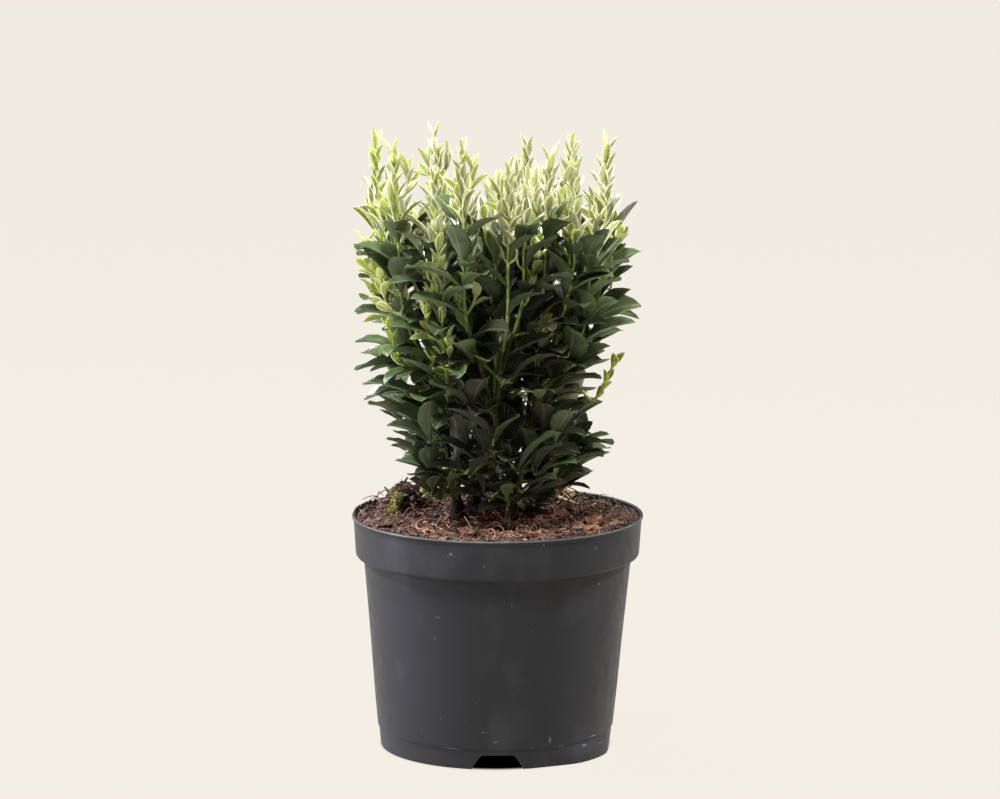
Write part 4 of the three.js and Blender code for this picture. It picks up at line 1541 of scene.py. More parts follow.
    def crumb_places(self) -> list[Place]:
        """Lays the crumbs: all over, thicker along the wall and on the clod, and a few on the rim.

        Returns:
            Their places.
        """
        kinds = self.crumb_kinds
        crumbs = []
        for _ in range(self.crumbs):
            size = 0.8 + 3.2 * self.next_() ** 2.8
            tone = (0, 0, 1, 1, 2)[self.next_.pick(5)]
            at = self.spread(self.edge_radius - 1.5)
            crumbs.append(self.lying(at, size, 3.0, 0.1 * size, kinds, tone))
        for _ in range(self.wall_crumbs):
            size = 1.4 + 2.6 * self.next_() ** 2
            way = Vector(self.spread(1.0)).normalized() * self.next_.between(86.5, 91.2 - size / 2)
            crumbs.append(self.lying(way, size, 3.0, 0.3 * size, kinds, (0, 0, 1)[self.next_.pick(3)]))
        for _ in range(self.clod_crumbs):
            size = 1.8 + 4.6 * self.next_() ** 2
            at = self.near(self.clod_at[0], self.clod_at[1] - 1, 11, 20)
            lift = 0.3 * size + 1.5 * self.next_()
            crumbs.append(self.lying(at, size, 3.0, lift, kinds, (0, 0, 1)[self.next_.pick(3)]))
        for _ in range(self.rim_crumbs):
            angle = math.radians(self.next_.between(150, 178))
            size = self.next_.between(1.1, 2.6)
            at = (self.rim_middle * math.cos(angle), self.rim_middle * math.sin(angle))
            place = self.lying(at, size, 3.0, 0.0, kinds, 0)
            place.root.z = self.rim_height + 0.2 * size
            crumbs.append(place)
        return crumbs

    def chip_places(self) -> list[Place]:
        """Lays the chips of bark: all over, all of the darkest tone on the left as painted shade, then the
        heaps.

        Returns:
            Their places.
        """
        chips = []
        for _ in range(self.chips):
            tone = (0, 0, 0, 0, 1, 1, 3)[self.next_.pick(7)]
            at = self.spread(self.edge_radius - 4)
            size = self.next_.between(3.2, 7.2) + 10.0 * self.next_() ** 3
            # Chips on the left, except near the front, all take the darkest tone: painted shade.
            shaded = at[0] < -36 and at[1] > -30
            chips.append(self.lying(at, size, 0.6, 0.9, self.chip_kinds, 0 if shaded else tone))
        return chips + self.heaped(CHIP_HEAPS, 1.15, 0.45, self.chip_kinds)

    def fibre_places(self) -> list[Place]:
        """Lays the fibres: all over, then the tufts.

        Returns:
            Their places.
        """
        kinds = self.fibre_kinds
        fibres = []
        for _ in range(self.fibres):
            at = self.spread(self.edge_radius - 9)
            size = self.next_.between(8, 20)
            fibres.append(self.lying(at, size, 0.35, 0.6, kinds, (0, 0, 1)[self.next_.pick(3)]))
        return fibres + self.heaped(FIBRE_TUFTS, 1.1, 0.5, kinds)

    def moss_places(self) -> list[Place]:
        """Lays the moss: a leaning cushion in front of the clod, highest in its middle.

        Returns:
            The places of its leaves.
        """
        middle_x, middle_y = self.moss_at
        leaves = []
        for _ in range(self.moss_leaves):
            x, y = self.near(middle_x, middle_y, 3.4, 11)
            x += 0.3 * (y - middle_y)
            steep = Matrix.Rotation(self.next_.between(0.2, 1.35), 3, "X")
            turn = Matrix.Rotation(self.next_() * FULL_TURN, 3, "Z") @ steep
            tuft = 5.5 * ease(1.3 - math.hypot(x - middle_x, (y - middle_y) / 2) / 5)
            root = Vector((x, y, self.relief(x, y) + self.next_.between(0.1, 1.0) * (1.5 + tuft)))
            size = Vector((1.0, 1.0, 1.0)) * self.next_.between(1.5, 3.4)
            shape, tone = self.next_.pick(self.moss_kinds), (0, 0, 1)[self.next_.pick(3)]
            leaves.append(Place(root, turn, size, shape, tone))
        return leaves

    def build(self) -> None:
        """Makes the plug and all that lies on it."""
        dress(self.bed([PEAT.build()]), ["potting_mix"])
        crumbs, chips, fibres, mosses = (
            [finish.build() for finish in finishes] for finishes in (CRUMBS, CHIPS, FIBRES, MOSSES)
        )
        self.lay("mix_crumbs", self.crumb_shapes(), crumbs, self.crumb_places(), 60.0)
        self.lay("mix_bark_chips", self.chip_shapes(), chips, self.chip_places(), 35.0)
        self.lay("mix_fibres", self.fibre_shapes(), fibres, self.fibre_places(), 50.0)
        dress(self.root_piece(fibres), [])
        self.lay("mix_moss", self.moss_shapes(), mosses, self.moss_places(), 50.0)


# How far from the middle line shoots stand and leaves reach, by height.
SHOOT_RADIUS = (
    (SOIL_LEVEL, 36.0), (SOIL_LEVEL + 45, 46.0), (SOIL_LEVEL + 90, 62.0),
    (SOIL_LEVEL + 150, 71.0), (SOIL_LEVEL + 200, 75.0), (TOP, 78.0),
)
LEAF_REACH = (
    (SOIL_LEVEL, 54.0), (SOIL_LEVEL + 20, 68.0), (SOIL_LEVEL + 40, 76.0), (SOIL_LEVEL + 60, 76.0),
    (SOIL_LEVEL + 80, 84.0), (SOIL_LEVEL + 100, 87.0), (SOIL_LEVEL + 120, 97.0), (SOIL_LEVEL + 140, 99.0),
    (SOIL_LEVEL + 200, 95.0), (TOP, 88.0),
)
# How far the middle of that reach lies to the side, because the crown isn't quite even.
LEAF_ASIDE = (
    (SOIL_LEVEL + 35, 9.0), (SOIL_LEVEL + 60, 2.0), (SOIL_LEVEL + 80, -7.0), (SOIL_LEVEL + 105, -7.0),
    (SOIL_LEVEL + 130, 0.0),
)
# The shoots of each mass, its leader first: the shares of the way out and across, and a spire's height.
SHOOT_PLACES = {
    "outer_1": ((0.3, 0.05), (0.98, -0.72, 406), (0.95, 0.36, 394), (0.8, 0.85)),
    "outer_2": ((0.3, 0.05), (0.55, -0.5, 399), (1, 0.62), (0.85, 0.1)),
    "outer_3": ((0.3, 0.05), (0.98, -0.66), (1, 0.6), (0.84, -0.02, 400)),
    "outer_4": ((0.3, 0.05), (0.98, -0.66), (1, 0.6), (0.84, 0, 397)),
    "outer_5": ((0.3, 0.05), (0.98, -0.78, 391), (1, 0.6), (0.82, -0.02)),
    "outer_6": ((0.3, 0.05), (0.98, -0.66), (1, 0.6), (0.5, -0.25, 404)),
    "outer_7": ((0.3, 0.05), (0.85, -0.7), (1, 0.1, 402), (0.8, 0.8)),
    "outer_8": ((0.3, 0.05), (1, -0.5, 402), (1, 0.7), (0.55, 0.35)),
    "inner_1": ((0.5, 0), (0.95, -0.55), (0.9, 0.6)),
    "inner_2": ((0.5, 0), (0.95, -0.55), (0.9, 0.6)),
    "inner_3": ((0.5, 0), (0.95, -0.55), (0.9, 0.6)),
}
# Shoots whose pale flush reaches this much farther down, by mass and number, and masses with lime spires.
LATE_FLUSH = 50.0
LATE_SHOOTS = (("outer_8", 2), ("outer_7", 3))
LIMED_MASSES = ("outer_3", "outer_7", "outer_8")

# The low twigs of each mass: the turn from its heading, the height over the mass's foot and the rise.
LOW_TWIGS = (
    (-0.6, 3, -11), (0.6, 6, -10), (0, 16, -2), (-0.5, 32, 8), (0.5, 46, 10), (-0.9, 60, 10), (0.9, 74, 12),
)

# The sprigs on each bough: the share of the way along it, the turn from its heading and the rise.
SPRIGS = (
    (0.1, -0.4, -3), (0.14, 0.5, -4), (0.1, -1.0, 3), (0.2, 0.9, 0),
    (0.35, -0.6, -6), (0.55, 0.55, -4), (0.75, -0.1, 0),
)

# Old twigs in the heart of the crown, whose grown leaves there take the painted-shade tone: a point near the
# foot of each, and its tip.
HEART_TWIGS = (
    ((-20, 8, 204), (-27, -4, 230)), ((-22, -6, 196), (-26, -22, 216)), ((8, 6, 216), (15, -6, 246)),
    ((14, -4, 206), (18, -20, 232)), ((-4, 6, 214), (-6, -10, 240)), ((30, 6, 200), (34, -6, 226)),
)

# The lime side shoots that show on the front and its sides, in the same way.
LIME_SHOOTS = (
    ((-74, -8, 283), (-79, -10, 312)), ((-70, -14, 300), (-74, -16, 335)), ((-60, -24, 266), (-60, -30, 294)),
    ((-40, -44, 288), (-38, -52, 318)), ((68, -14, 222), (74, -16, 252)), ((-18, -56, 314), (-17, -62, 338)),
    ((22, -56, 300), (24, -62, 330)), ((44, -48, 318), (46, -54, 342)), ((72, -10, 318), (76, -12, 336)),
)


def arched(start: Vector, end: Vector, rise: float = 2.5, spacing: float = 3.0) -> Path:
    """A line between two points that rises a little in its middle."""
    return Path([start, start.lerp(end, 0.5) + Vector((0, 0, rise)), end], spacing)


@dataclass
class Twig:
    """One leafy twig: its path, its thickness and how its leaves follow from the tip down."""

    path: Path
    first_radius: float
    last_radius: float
    turn: float
    seed: int
    age_at_tip: float
    gap_share: float
    bare_below: float
    tone: int
    fresh: bool = False
    to_light: float = 0.0
    late: float = 0.0
    nodes: list[float] = field(default_factory=list)


@dataclass
class Shoot:
    """A shoot's place in its mass, as shares of the way out and across, and its two ends."""

    out: float
    across: float
    parts: float
    top: float
    turn: float
    seed: int
    leads: bool
    spire: bool


@dataclass
class Cell:
    """One mass of foliage: its wedge of the crown and the shoots that stand in it."""

    name: str
    outer: bool
    order: int
    angle: float
    half_angle: float
    core_at_soil: float = 13.0
    core_widening: float = 0.1
    first_parting: float = 4.0
    parting_spread: float = 52.0
    parting_bend: float = 62.0
    least_drop: float = 32.0
    drop_spread: float = 30.0
    path_spacing: float = 34.0
    terminal_rise: float = 9.5
    bare_leader: float = 24.0
    bare_inner: float = 45.0

    def core_at(self, height: float) -> float:
        """Half the width of the core that the inner masses share, at a height."""
        return self.core_at_soil + self.core_widening * max(0.0, height - SOIL_LEVEL)

    def shoot_point(self, out: float, across: float, height: float) -> Vector:
        """Where a shoot with given shares of the wedge stands at a height.

        Args:
            out: its share of the way out.
            across: its share of the way across.
            height: the height above the ground.

        Returns:
            The point.
        """
        core = self.core_at(height)
        if self.outer:
            radius = mix(core + 7, along(SHOOT_RADIUS, height), out) * (1 - 0.06 * across * across)
            offset = across * (radius * math.tan(self.half_angle) - 3)
        else:
            radius = mix(5.0, core - 3, out)
            offset = across * radius * 0.8
        cos, sin = math.cos(self.angle), math.sin(self.angle)
        return Vector((CROWN_X + radius * cos - offset * sin, radius * sin + offset * cos, height))

    def shoots(self) -> list[Shoot]:
        """Draws the shoots of the mass.

        Returns:
            The leader, then those that part from it.
        """
        next_ = Draws(SEED + 101 * self.order)
        shoots = []
        for order, (out, across, *spire) in enumerate(SHOOT_PLACES[self.name]):
            play = 0.02 if spire else 0.08
            shoot = Shoot(
                out=min(1.0, out + play * (2 * next_() - 1)),
                across=across + 1.5 * play * (2 * next_() - 1),
                parts=SOIL_LEVEL + ENTRY_ABOVE_SOIL + self.first_parting + self.parting_spread * next_(),
                top=TOP - self.least_drop - self.drop_spread * next_(),
                turn=next_() * FULL_TURN,
                seed=SEED + 1009 * (self.order + 1) + 31 * order,
                leads=order == 0,
                spire=bool(spire),
            )
            if spire:
                shoot.top = spire[0] - self.terminal_rise
            if shoot.leads:
                shoot.parts = SOIL_LEVEL + ENTRY_ABOVE_SOIL
            shoots.append(shoot)
        return shoots

    def shoot_path(self, leader: Shoot, shoot: Shoot) -> Path:
        """Finds the path of a shoot.

        Args:
            leader: the mass's leader.
            shoot: the shoot.

        Returns:
            Its path, from where it parts from the leader to its tip.
        """
        length = shoot.top - shoot.parts
        count = max(3, round(length / self.path_spacing))
        points = []
        for i in range(count + 1):
            height = shoot.parts + length * i / count
            own = self.shoot_point(shoot.out, shoot.across, height)
            share = 1.0 if shoot.leads else ease((height - shoot.parts) / self.parting_bend)
            points.append(self.shoot_point(leader.out, leader.across, height).lerp(own, share))
        return Path(points)

    def low_twigs(self, leader: Shoot) -> list[Twig]:
        """Grows short leafy side twigs low on the mass, reaching out over the pot.

        Args:
            leader: the mass's leader.

        Returns:
            The twigs.
        """
        next_ = Draws(SEED + 577 * (self.order + 1))
        twigs = []
        for order, (lean, above, rise) in enumerate(LOW_TWIGS):
            height = SOIL_LEVEL + ENTRY_ABOVE_SOIL + above + 4 * next_()
            start = self.shoot_point(leader.out, leader.across, height)
            heading = self.angle + lean + 0.2 * (next_() - 0.5)
            reach = (21 + 8 * next_()) * (1.0 if self.outer else 0.6)
            end = start + Vector((reach * math.cos(heading), reach * math.sin(heading), rise + 4 * next_()))
            seed = SEED + 7919 * (self.order + 1) + order
            gap_share = 0.55 if above < 30 else 0.85
            turn, tone = 0.4 + 0.5 * next_(), next_.pick(3)
            path = arched(start, end)
            twigs.append(Twig(path, 1.15, 0.75, turn, seed, 0.84, gap_share, 6.0, tone, to_light=0.85))
        return twigs

    def twigs(self) -> list[Twig]:
        """Grows the main twigs of the mass.

        Returns:
            Its shoots, then its low side twigs.
        """
        shoots = self.shoots()
        bare = self.bare_leader if self.outer else self.bare_inner
        twigs = []
        for order, shoot in enumerate(shoots):
            late = LATE_FLUSH if (self.name, order) in LATE_SHOOTS else 0.0
            limed = shoot.spire and self.name in LIMED_MASSES
            tone = 0 if late or limed else 1 + (self.order + order) % 2
            path = self.shoot_path(shoots[0], shoot)
            radius = 1.9 if shoot.leads else 1.45
            twigs.append(Twig(path, radius, 0.7, shoot.turn, shoot.seed, 0.0, 1.0, bare, tone, late=late))
        return [*twigs, *self.low_twigs(shoots[0])]


def make_cells() -> list[Cell]:
    """Sets out the masses of foliage.

    Returns:
        Eight round the outside, from the front on, then three in the core.
    """
    cells = []
    for i in range(OUTER_CELLS):
        angle = -math.pi / 2 + i * FULL_TURN / OUTER_CELLS
        cells.append(Cell(f"outer_{i + 1}", True, i, angle, math.pi / OUTER_CELLS))
    for i in range(INNER_CELLS):
        angle = -math.pi / 2 + 0.26 + i * FULL_TURN / INNER_CELLS
        cells.append(Cell(f"inner_{i + 1}", False, OUTER_CELLS + i, angle, math.pi / INNER_CELLS))
    return cells


@dataclass
class WoodyClump:
    """The stems that come out of the mix and the boughs that carry the masses of foliage."""

    cells: list[Cell]
    outer_stems: int = 4
    ring_radius: float = 28.0
    foot_radius: float = 5.2
    tip_radius: float = 3.6
    flare: float = 2.2
    sunk: float = 3.0
    fork_above: float = 17.0
    bough_radius: float = 2.6
    bough_tip_radius: float = 2.1

    def stems(self) -> list[tuple[Vector, Vector]]:
        """Sets out the stems as in the source: four round the clump and one in its middle.

        Returns:
            Each stem's foot and fork.
        """
        next_ = Draws(SEED + 7)
        places = []
        for i in range(self.outer_stems):
            angle = -math.pi / 2 + (i + 0.25) * FULL_TURN / self.outer_stems + 0.3 * (next_() - 0.5)
            places.append((angle, self.ring_radius + 4 * (next_() - 0.5)))
        places.append((0.4, 2.5))
        stems = []
        for angle, radius in places:
            cos, sin = math.cos(angle), math.sin(angle)
            x, y = CROWN_X + radius * cos, radius * sin
            ground = soil_top(x, y)
            lean = 0.1 * radius
            foot = Vector((x, y, ground - self.sunk))
            stems.append((foot, Vector((x + lean * cos, y + lean * sin, ground + self.fork_above))))
        return stems

    def relief(self, seed: float, depth: float) -> Callable[[float, float], float]:
        """Long ridges and cracks of bark round a limb.

        Args:
            seed: moves the pattern, so that no two limbs share it.
            depth: the ridges' depth.

        Returns:
            The height of the bark from the distance along the limb and the angle round it.
        """

        def height(distance: float, angle: float) -> float:
            """The bark's height at one place.

            Args:
                distance: how far along the limb.
                angle: the way round it.

            Returns:
                The height.
            """
            place = Vector((math.cos(angle) * 1.7 + seed, math.sin(angle) * 1.7, distance * 0.13))
            fine = Vector((math.cos(angle) * 4.1, math.sin(angle) * 4.1 + seed, distance * 0.4))
            return depth * (noise.noise(place) + 0.6 * noise.noise(fine))

        return height

    def build(self) -> list[Path]:
        """Makes the stems and boughs.

        Returns:
            The lines of all limbs, which leaves keep clear of.
        """
        stems = self.stems()
        lines = []
        trunk = Shell()
        for number, (foot, fork) in enumerate(stems):
            over = (fork - foot).normalized() * 1.2
            path = Path([foot, foot.lerp(fork, 0.5), fork + over], 0.8)
            bark = self.relief(number * 3.7, 0.75)
            length = path.length

            def radius(distance: float, angle: float) -> float:
                """The stem's radius, with its flared foot, its rounded head and its bark.

                Args:
                    distance: how far along it.
                    angle: the way round it.

                Returns:
                    Its radius there.
                """
                share = distance / length
                head = math.sqrt(max(0.12, 1 - max(0.0, (share - 0.86) / 0.14) ** 2))
                flare = self.flare * (1 - share) ** 4 * (1 + 0.35 * math.sin(3 * angle + number))
                thick = mix(self.foot_radius, self.tip_radius, share) + flare
                return thick * head * 0.97 + bark(distance, angle)

            trunk.add(*path.tube(radius, 26))
            lines.append(path)
        piece = trunk.piece("stems_bark", [Bark("thin_spindle_bark").build()], 60.0)
        dress(piece, [f"stem_{i + 1}" for i in range(len(stems))])

        boughs = Shell()
        for cell in self.cells:
            _, fork = stems[cell.order // 2] if cell.outer else stems[-1]
            leader = cell.shoots()[0]
            entry = cell.shoot_point(leader.out, leader.across, SOIL_LEVEL + ENTRY_ABOVE_SOIL)
            path = arched(fork + Vector((0, 0, -4)), entry, 3.0, 0.9)
            bark = self.relief(20 + cell.order * 2.3, 0.3)
            length = path.length

            def radius(distance: float, angle: float) -> float:
                """The bough's radius, thicker where it leaves its stem and at its old leaf nodes.

                Args:
                    distance: how far along it.
                    angle: the way round it.

                Returns:
                    Its radius there.
                """
                collar = 0.9 * (1 - ease(distance / 7))
                node = 0.28 * max(0.0, math.cos(distance * 0.55 + cell.order)) ** 8
                taper = mix(self.bough_radius, self.bough_tip_radius, distance / length) - 0.25
                return taper + collar + node + bark(distance, angle)

            boughs.add(*path.tube(radius, 16))
            lines.append(path)
        young = Bark("green_brown_young_bark", "413e27", "636540", "221e13", 8.0, 0.62).build()
        piece = boughs.piece("boughs_bark", [young], 60.0)
        dress(piece, [f"bough_{cell.name}" for cell in self.cells])
        return lines


class Room:
    """What takes up room in the crown, in coarse forms, so some cuts between leaves slip through."""

    def __init__(self, pitch: float = 42.0) -> None:
        """Starts with an empty crown, sorted into cubes of a pitch."""
        self.pitch = pitch
        self.cubes: dict[tuple[int, ...], list[tuple[Vector, float, BVHTree]]] = {}

    def key(self, point: Vector) -> tuple[int, ...]:
        """The cube that a point is in."""
        return tuple(math.floor(c / self.pitch) for c in point)

    def ball(self, verts: Sequence[Vector]) -> tuple[Vector, float]:
        """The middle of some points, and how far the farthest is from it."""
        centre = sum(verts, Vector()) / len(verts)
        return centre, max((v - centre).length for v in verts)

    def hold(self, verts: Sequence[Vector], faces: Faces) -> None:
        """Adds a form that takes up room, given by its vertices and faces."""
        entry = (*self.ball(verts), BVHTree.FromPolygons(verts, faces))
        self.cubes.setdefault(self.key(entry[0]), []).append(entry)

    def hold_path(self, path: Path, radius: float, step: int = 5) -> None:
        """Adds a limb or twig, in short coarse lengths.

        Args:
            path: its line.
            radius: the room that it takes up round its line.
            step: how many runs of the line make a length.
        """
        points = path.points[::step] + ([path.points[-1]] if (len(path.points) - 1) % step else [])
        for a, b in zip(points, points[1:]):
            level, upright = square_to((b - a).normalized())
            around = [level, upright * 0.87 - level * 0.5, upright * -0.87 - level * 0.5]
            verts = [end + way * radius for end in (a, b) for way in around]
            self.hold(verts, [[0, 1, 4, 3], [1, 2, 5, 4], [2, 0, 3, 5]])

    def free(self, verts: Sequence[Vector], faces: Faces) -> bool:
        """Tells whether a form would touch nothing.

        Args:
            verts: its vertices.
            faces: its faces.

        Returns:
            True if it has room.
        """
        centre, radius = self.ball(verts)
        tree = None
        for cube in product(*((c - 1, c, c + 1) for c in self.key(centre))):
            for other, size, shape in self.cubes.get(cube, ()):
                if (other - centre).length > size + radius:
                    continue
                tree = tree or BVHTree.FromPolygons(verts, faces)
                if tree.overlap(shape):
                    return False
        return True


# The tones of each kind of leaf (blade, edge, underside), its roughness and how much light comes through;
# grown leaves have a fourth tone, painted shade for the heart of the crown.
LEAF_TONES = {
    LeafKind.TIP: (
        ("8fa34f", "afb47f", "949c6d"), ("cdd496", "e2e0bd", "e6e3ca"), ("a4b069", "bcbf93", "a4ab80"),
        0.38, 0.3,
    ),
    LeafKind.CREAM: (
        ("7f8c50", "9a9e6e", "747c50"), ("d3d69c", "ebe7c8", "e8e4c2"), ("949e64", "abae86", "8c9268"),
        0.36, 0.3,
    ),
    LeafKind.TURNING: (
        ("606e3b", "525d33", "4a5537"), ("bfc582", "b1b77b", "d9d7a5"), ("828d59", "758052", "6d7753"),
        0.3, 0.15,
    ),
    LeafKind.GROWN: (
        ("475735", "3c4930", "566844", "37382a"), ("586a3c", "485635", "708053", "3c3f2d"),
        ("626f4f", "566147", "6d7955", "434436"), 0.2, 0.0,
    ),
    LeafKind.FRESH: (
        ("9aac4c", "829a4a", "b6be6e"), ("d0d68c", "bfc87a", "e2e3b0"), ("a9b865", "95a960", "c4ca86"),
        0.36, 0.3,
    ),
}
# A darker tone that only grown leaves have, given to those in the heart of the crown: painted shade.
SHADED = 3

# The ways to seat a leaf, tried in order: its swing round the stem, the share of its size, and its opening.
TRIES = (
    (0, 1, 0), (0.35, 1, 0), (-0.35, 1, 0), (0, 1, 0.22),
    (0, 0.95, -0.25), (0.7, 0.92, 0), (-0.7, 0.92, 0.1), (0, 0.78, 0),
)


@dataclass
class Seat:
    """Where a leaf grows: its foot, its stem's direction, the way round it, its angle, length and age."""

    foot: Vector
    stem: Vector
    azimuth: float
    angle: float
    size: float
    age: float

    @property
    def out(self) -> Vector:
        """The way from the stem to the leaf, square to the stem."""
        return outward(self.stem, self.azimuth)


@dataclass
class Crown:
    """The twigs and leaves, grown by the source's rule and carried to finer twigs."""

    cells: list[Cell]
    limbs: list[Path]
    grown_below: float = 105.0
    young_gap: float = 6.4
    grown_gap: float = 20.0
    young_leaf: float = 14.5
    grown_leaf: float = 43.0
    young_angle: float = 0.4
    grown_angle: float = 1.12
    flush_foot: float = 342.0
    twig_off_soil: float = 2.0
    leaf_off_soil: float = 12.0
    above_top: float = 4.5
    limb_room: float = 4.0
    twig_room: float = 1.4
    side_room: float = 0.9
    side_shoot_chance: float = 0.12
    side_shoot_below: float = 58.0
    flush_span: Point2 = (26.0, 66.0)
    flush_chance: float = 0.55
    variant_step: int = 17
    room: Room = field(default_factory=Room)
    sheets: dict[LeafKind, list] = field(default_factory=dict)
    places: dict[LeafKind, list[Place]] = field(default_factory=lambda: {kind: [] for kind in LeafKind})

    def sprigs(self) -> list[Twig]:
        """Grows short leafy twigs on the boughs, below the masses and low over the mix.

        Returns:
            The twigs.
        """
        twigs = []
        for cell, bough in zip(self.cells, self.limbs[-len(self.cells):]):
            next_ = Draws(SEED + 313 * (cell.order + 1))
            for order, (share, lean, rise) in enumerate(SPRIGS):
                start = bough.at(bough.length * share)[0]
                heading = cell.angle + lean + 0.4 * (next_() - 0.5)
                reach = next_.between(18, 27) if cell.outer else next_.between(9, 15)
                short = order < 2
                reach *= 0.6 if short else 1.0
                way = Vector((reach * math.cos(heading), reach * math.sin(heading), rise + 3 * next_()))
                path = arched(start, start + way)
                seed = SEED + 5003 * (cell.order + 1) + order
                bare, to_light = (4.0, 0.7) if short else (7.0, 0.8)
                turn, tone = 0.4 + 0.5 * next_(), next_.pick(3)
                twigs.append(Twig(path, 1.1, 0.75, turn, seed, 0.8, 0.55, bare, tone, to_light=to_light))
        return twigs

    def placed_twigs(self, twigs: Sequence[Twig]) -> list[Twig]:
        """Grows the lime side shoots and the old twigs of the heart, each from the nearest twig.

        Args:
            twigs: the twigs that are there.

        Returns:
            The twigs to add.
        """
        placed = []
        for order, (foot, tip) in enumerate((*LIME_SHOOTS, *HEART_TWIGS)):
            fresh = order < len(LIME_SHOOTS)
            bend, end = Vector(foot), Vector(tip)
            start = min((p for twig in twigs for p in twig.path.points), key=lambda p: (p - bend).length)
            path = Path([start, start.lerp(bend, 0.6) + Vector((0, 0, 3)), end])
            age, gap_share = (0.0, 1.0) if fresh else (0.84, 0.6)
            seed = SEED + 9001 + order
            placed.append(Twig(path, 1.0, 0.6, 0.7 * order, seed, age, gap_share, 6.0, order % 3, fresh))
        return placed

    def fits(self, points: Sequence[Vector], off_soil: float) -> bool:
        """Tells whether points keep to the crown's reach and off the mix.

        Args:
            points: the points.
            off_soil: how far they have to keep above the mix.

        Returns:
            True if all of them do.
        """
        for p in points:
            if abs(p.x) > REACH or abs(p.y) > REACH or p.z > TOP + self.above_top:
                return False
            if p.z < soil_top(p.x, p.y) + off_soil:
                return False
            middle = CROWN_X + along(LEAF_ASIDE, p.z)
            if math.hypot(p.x - middle, p.y) > along(LEAF_REACH, p.z):
                return False
        return True

    def drop_chance(self, seat: Seat) -> float:
        """Tells how likely a leaf is to have dropped: low ones that face the shaded middle sometimes have.

        Args:
            seat: where it grows.

        Returns:
            The chance, from 0 to 1.
        """
        away = Vector((seat.foot.x - CROWN_X, seat.foot.y, 0.0))
        if seat.out.dot(away) / max(1.0, away.length) < -0.1:
            return 0.12 * ease((SOIL_LEVEL + 185 - seat.foot.z) / 60)
        return 0.0

    def age_at(self, twig: Twig, below: float, foot: Vector) -> float:
        """Gives the age of the leaves at a place on a twig.

        Args:
            twig: the twig.
            below: how far below its tip the place is.
            foot: the place itself, because leaves below the flush are older whatever their twig.

        Returns:
            The age, from 0 for the youngest to 1 for those that are grown.
        """
        age = ease((below - 6) / (self.grown_below + twig.late) + twig.age_at_tip)
        if twig.fresh:
            return age
        flush_foot = self.flush_foot - twig.late - 0.15 * foot.y + 10 * math.sin(twig.seed * 1.7)
        return max(age, 0.75 * ease((flush_foot - foot.z) / 26))

    def kind_at(self, age: float, twig: Twig) -> LeafKind:
        """Gives the kind of leaf that a twig bears at an age; on some twigs old leaves start a little higher.

        Args:
            age: the leaf's age.
            twig: its twig.

        Returns:
            Its kind.
        """
        if twig.fresh:
            return LeafKind.FRESH
        play = 0.09 * math.sin(twig.seed)
        limits = ((0.1, LeafKind.TIP), (0.44 + play, LeafKind.CREAM), (0.54 + play, LeafKind.TURNING))
        return next((kind for limit, kind in limits if age < limit), LeafKind.GROWN)

    def frame_of(self, stem: Vector, azimuth: float, angle: float, to_light: float) -> Matrix:
        """Turns a leaf on its stem, its upper face towards the stem's tip or the light.

        Args:
            stem: the stem's direction.
            azimuth: the way round the stem.
            angle: the angle between leaf and stem.
            to_light: how far the leaf has turned its face up.

        Returns:
            The turn that brings a leaf along +Y with its face to +Z into place.
        """
        along_leaf = stem * math.cos(angle) + outward(stem, azimuth) * math.sin(angle)
        along_leaf.z = mix(along_leaf.z, max(along_leaf.z, 0.1), to_light) + 0.25 * to_light
        along_leaf.normalize()
        facing = stem.lerp(UP, to_light)
        face = (facing - along_leaf * facing.dot(along_leaf)).normalized()
        return Matrix((along_leaf.cross(face), along_leaf, face)).transposed()

    def grow(self) -> list[Twig]:
        """Grows every twig and leaf, and keeps the places of the leaves.

        Returns:
            The twigs.
        """
        for kind, shape in SHAPES.items():
            self.sheets[kind] = [shape.sheet(SEED + self.variant_step * v) for v in range(shape.variants)]
        for path in self.limbs:
            self.room.hold_path(path, self.limb_room)
        twigs = [
            twig for cell in self.cells for twig in cell.twigs()
            if self.fits(twig.path.points[1:], self.twig_off_soil)
        ]
        twigs += [twig for twig in self.sprigs() if self.fits(twig.path.points[3:], self.twig_off_soil)]
        twigs += self.placed_twigs(twigs)
        for twig in twigs:
            self.room.hold_path(twig.path, self.twig_room)
        queue = list(twigs)
        while queue:
            sides = self.leaves_of(queue.pop(0))
            for side in sides:
                self.room.hold_path(side.path, self.side_room)
            twigs += sides
            queue += sides
        return twigs

    def leaves_of(self, twig: Twig) -> list[Twig]:
        """Puts the leaves of a twig in crossed pairs down from its tip.

        Args:
            twig: the twig.

        Returns:
            The side shoots that start on it.
        """
        next_ = Draws(twig.seed)
        extra = Draws(twig.seed + 500009)
        length = twig.path.length
        play = 2.2 if twig.to_light else 1.0
        sides: list[Twig] = []
        below = 1.5
        pair = 0
        while below < length - twig.bare_below:
            foot, stem = twig.path.at(length - below)
            twig.nodes.append(length - below)
            age = self.age_at(twig, below, foot)
            for opposite in (0.0, math.pi):
                azimuth = twig.turn + pair * math.pi / 2 + opposite + 0.5 * play * (next_() - 0.5)
                angle = mix(self.young_angle, self.grown_angle, age) + 0.4 * play * (next_() - 0.5)
                size = mix(self.young_leaf, self.grown_leaf, age) * (0.78 + 0.34 * next_())
                size *= mix(0.7, 1.0, ease((foot.z - SOIL_LEVEL - 12) / 50))
                if twig.fresh:
                    size = min(size, 11 + 0.32 * length + below * 0.15)
                seat = Seat(foot, stem, azimuth, angle, size, age)
                if next_() < self.drop_chance(seat):
                    continue
                self.place_leaf(twig, seat, extra)
                in_flush = self.flush_span[0] < below < self.flush_span[1] and length > 60
                flush = in_flush and extra() < self.flush_chance
                chance = self.side_shoot_chance * (2.0 if foot.x < -25 else 0.8)
                lime = below > self.side_shoot_below and not twig.fresh and extra() < chance
                side = self.side_shoot(seat, extra, lime) if flush or lime else None
                if side:
                    sides.append(side)
            gap = mix(self.young_gap, self.grown_gap, age) * (0.85 + 0.3 * next_())
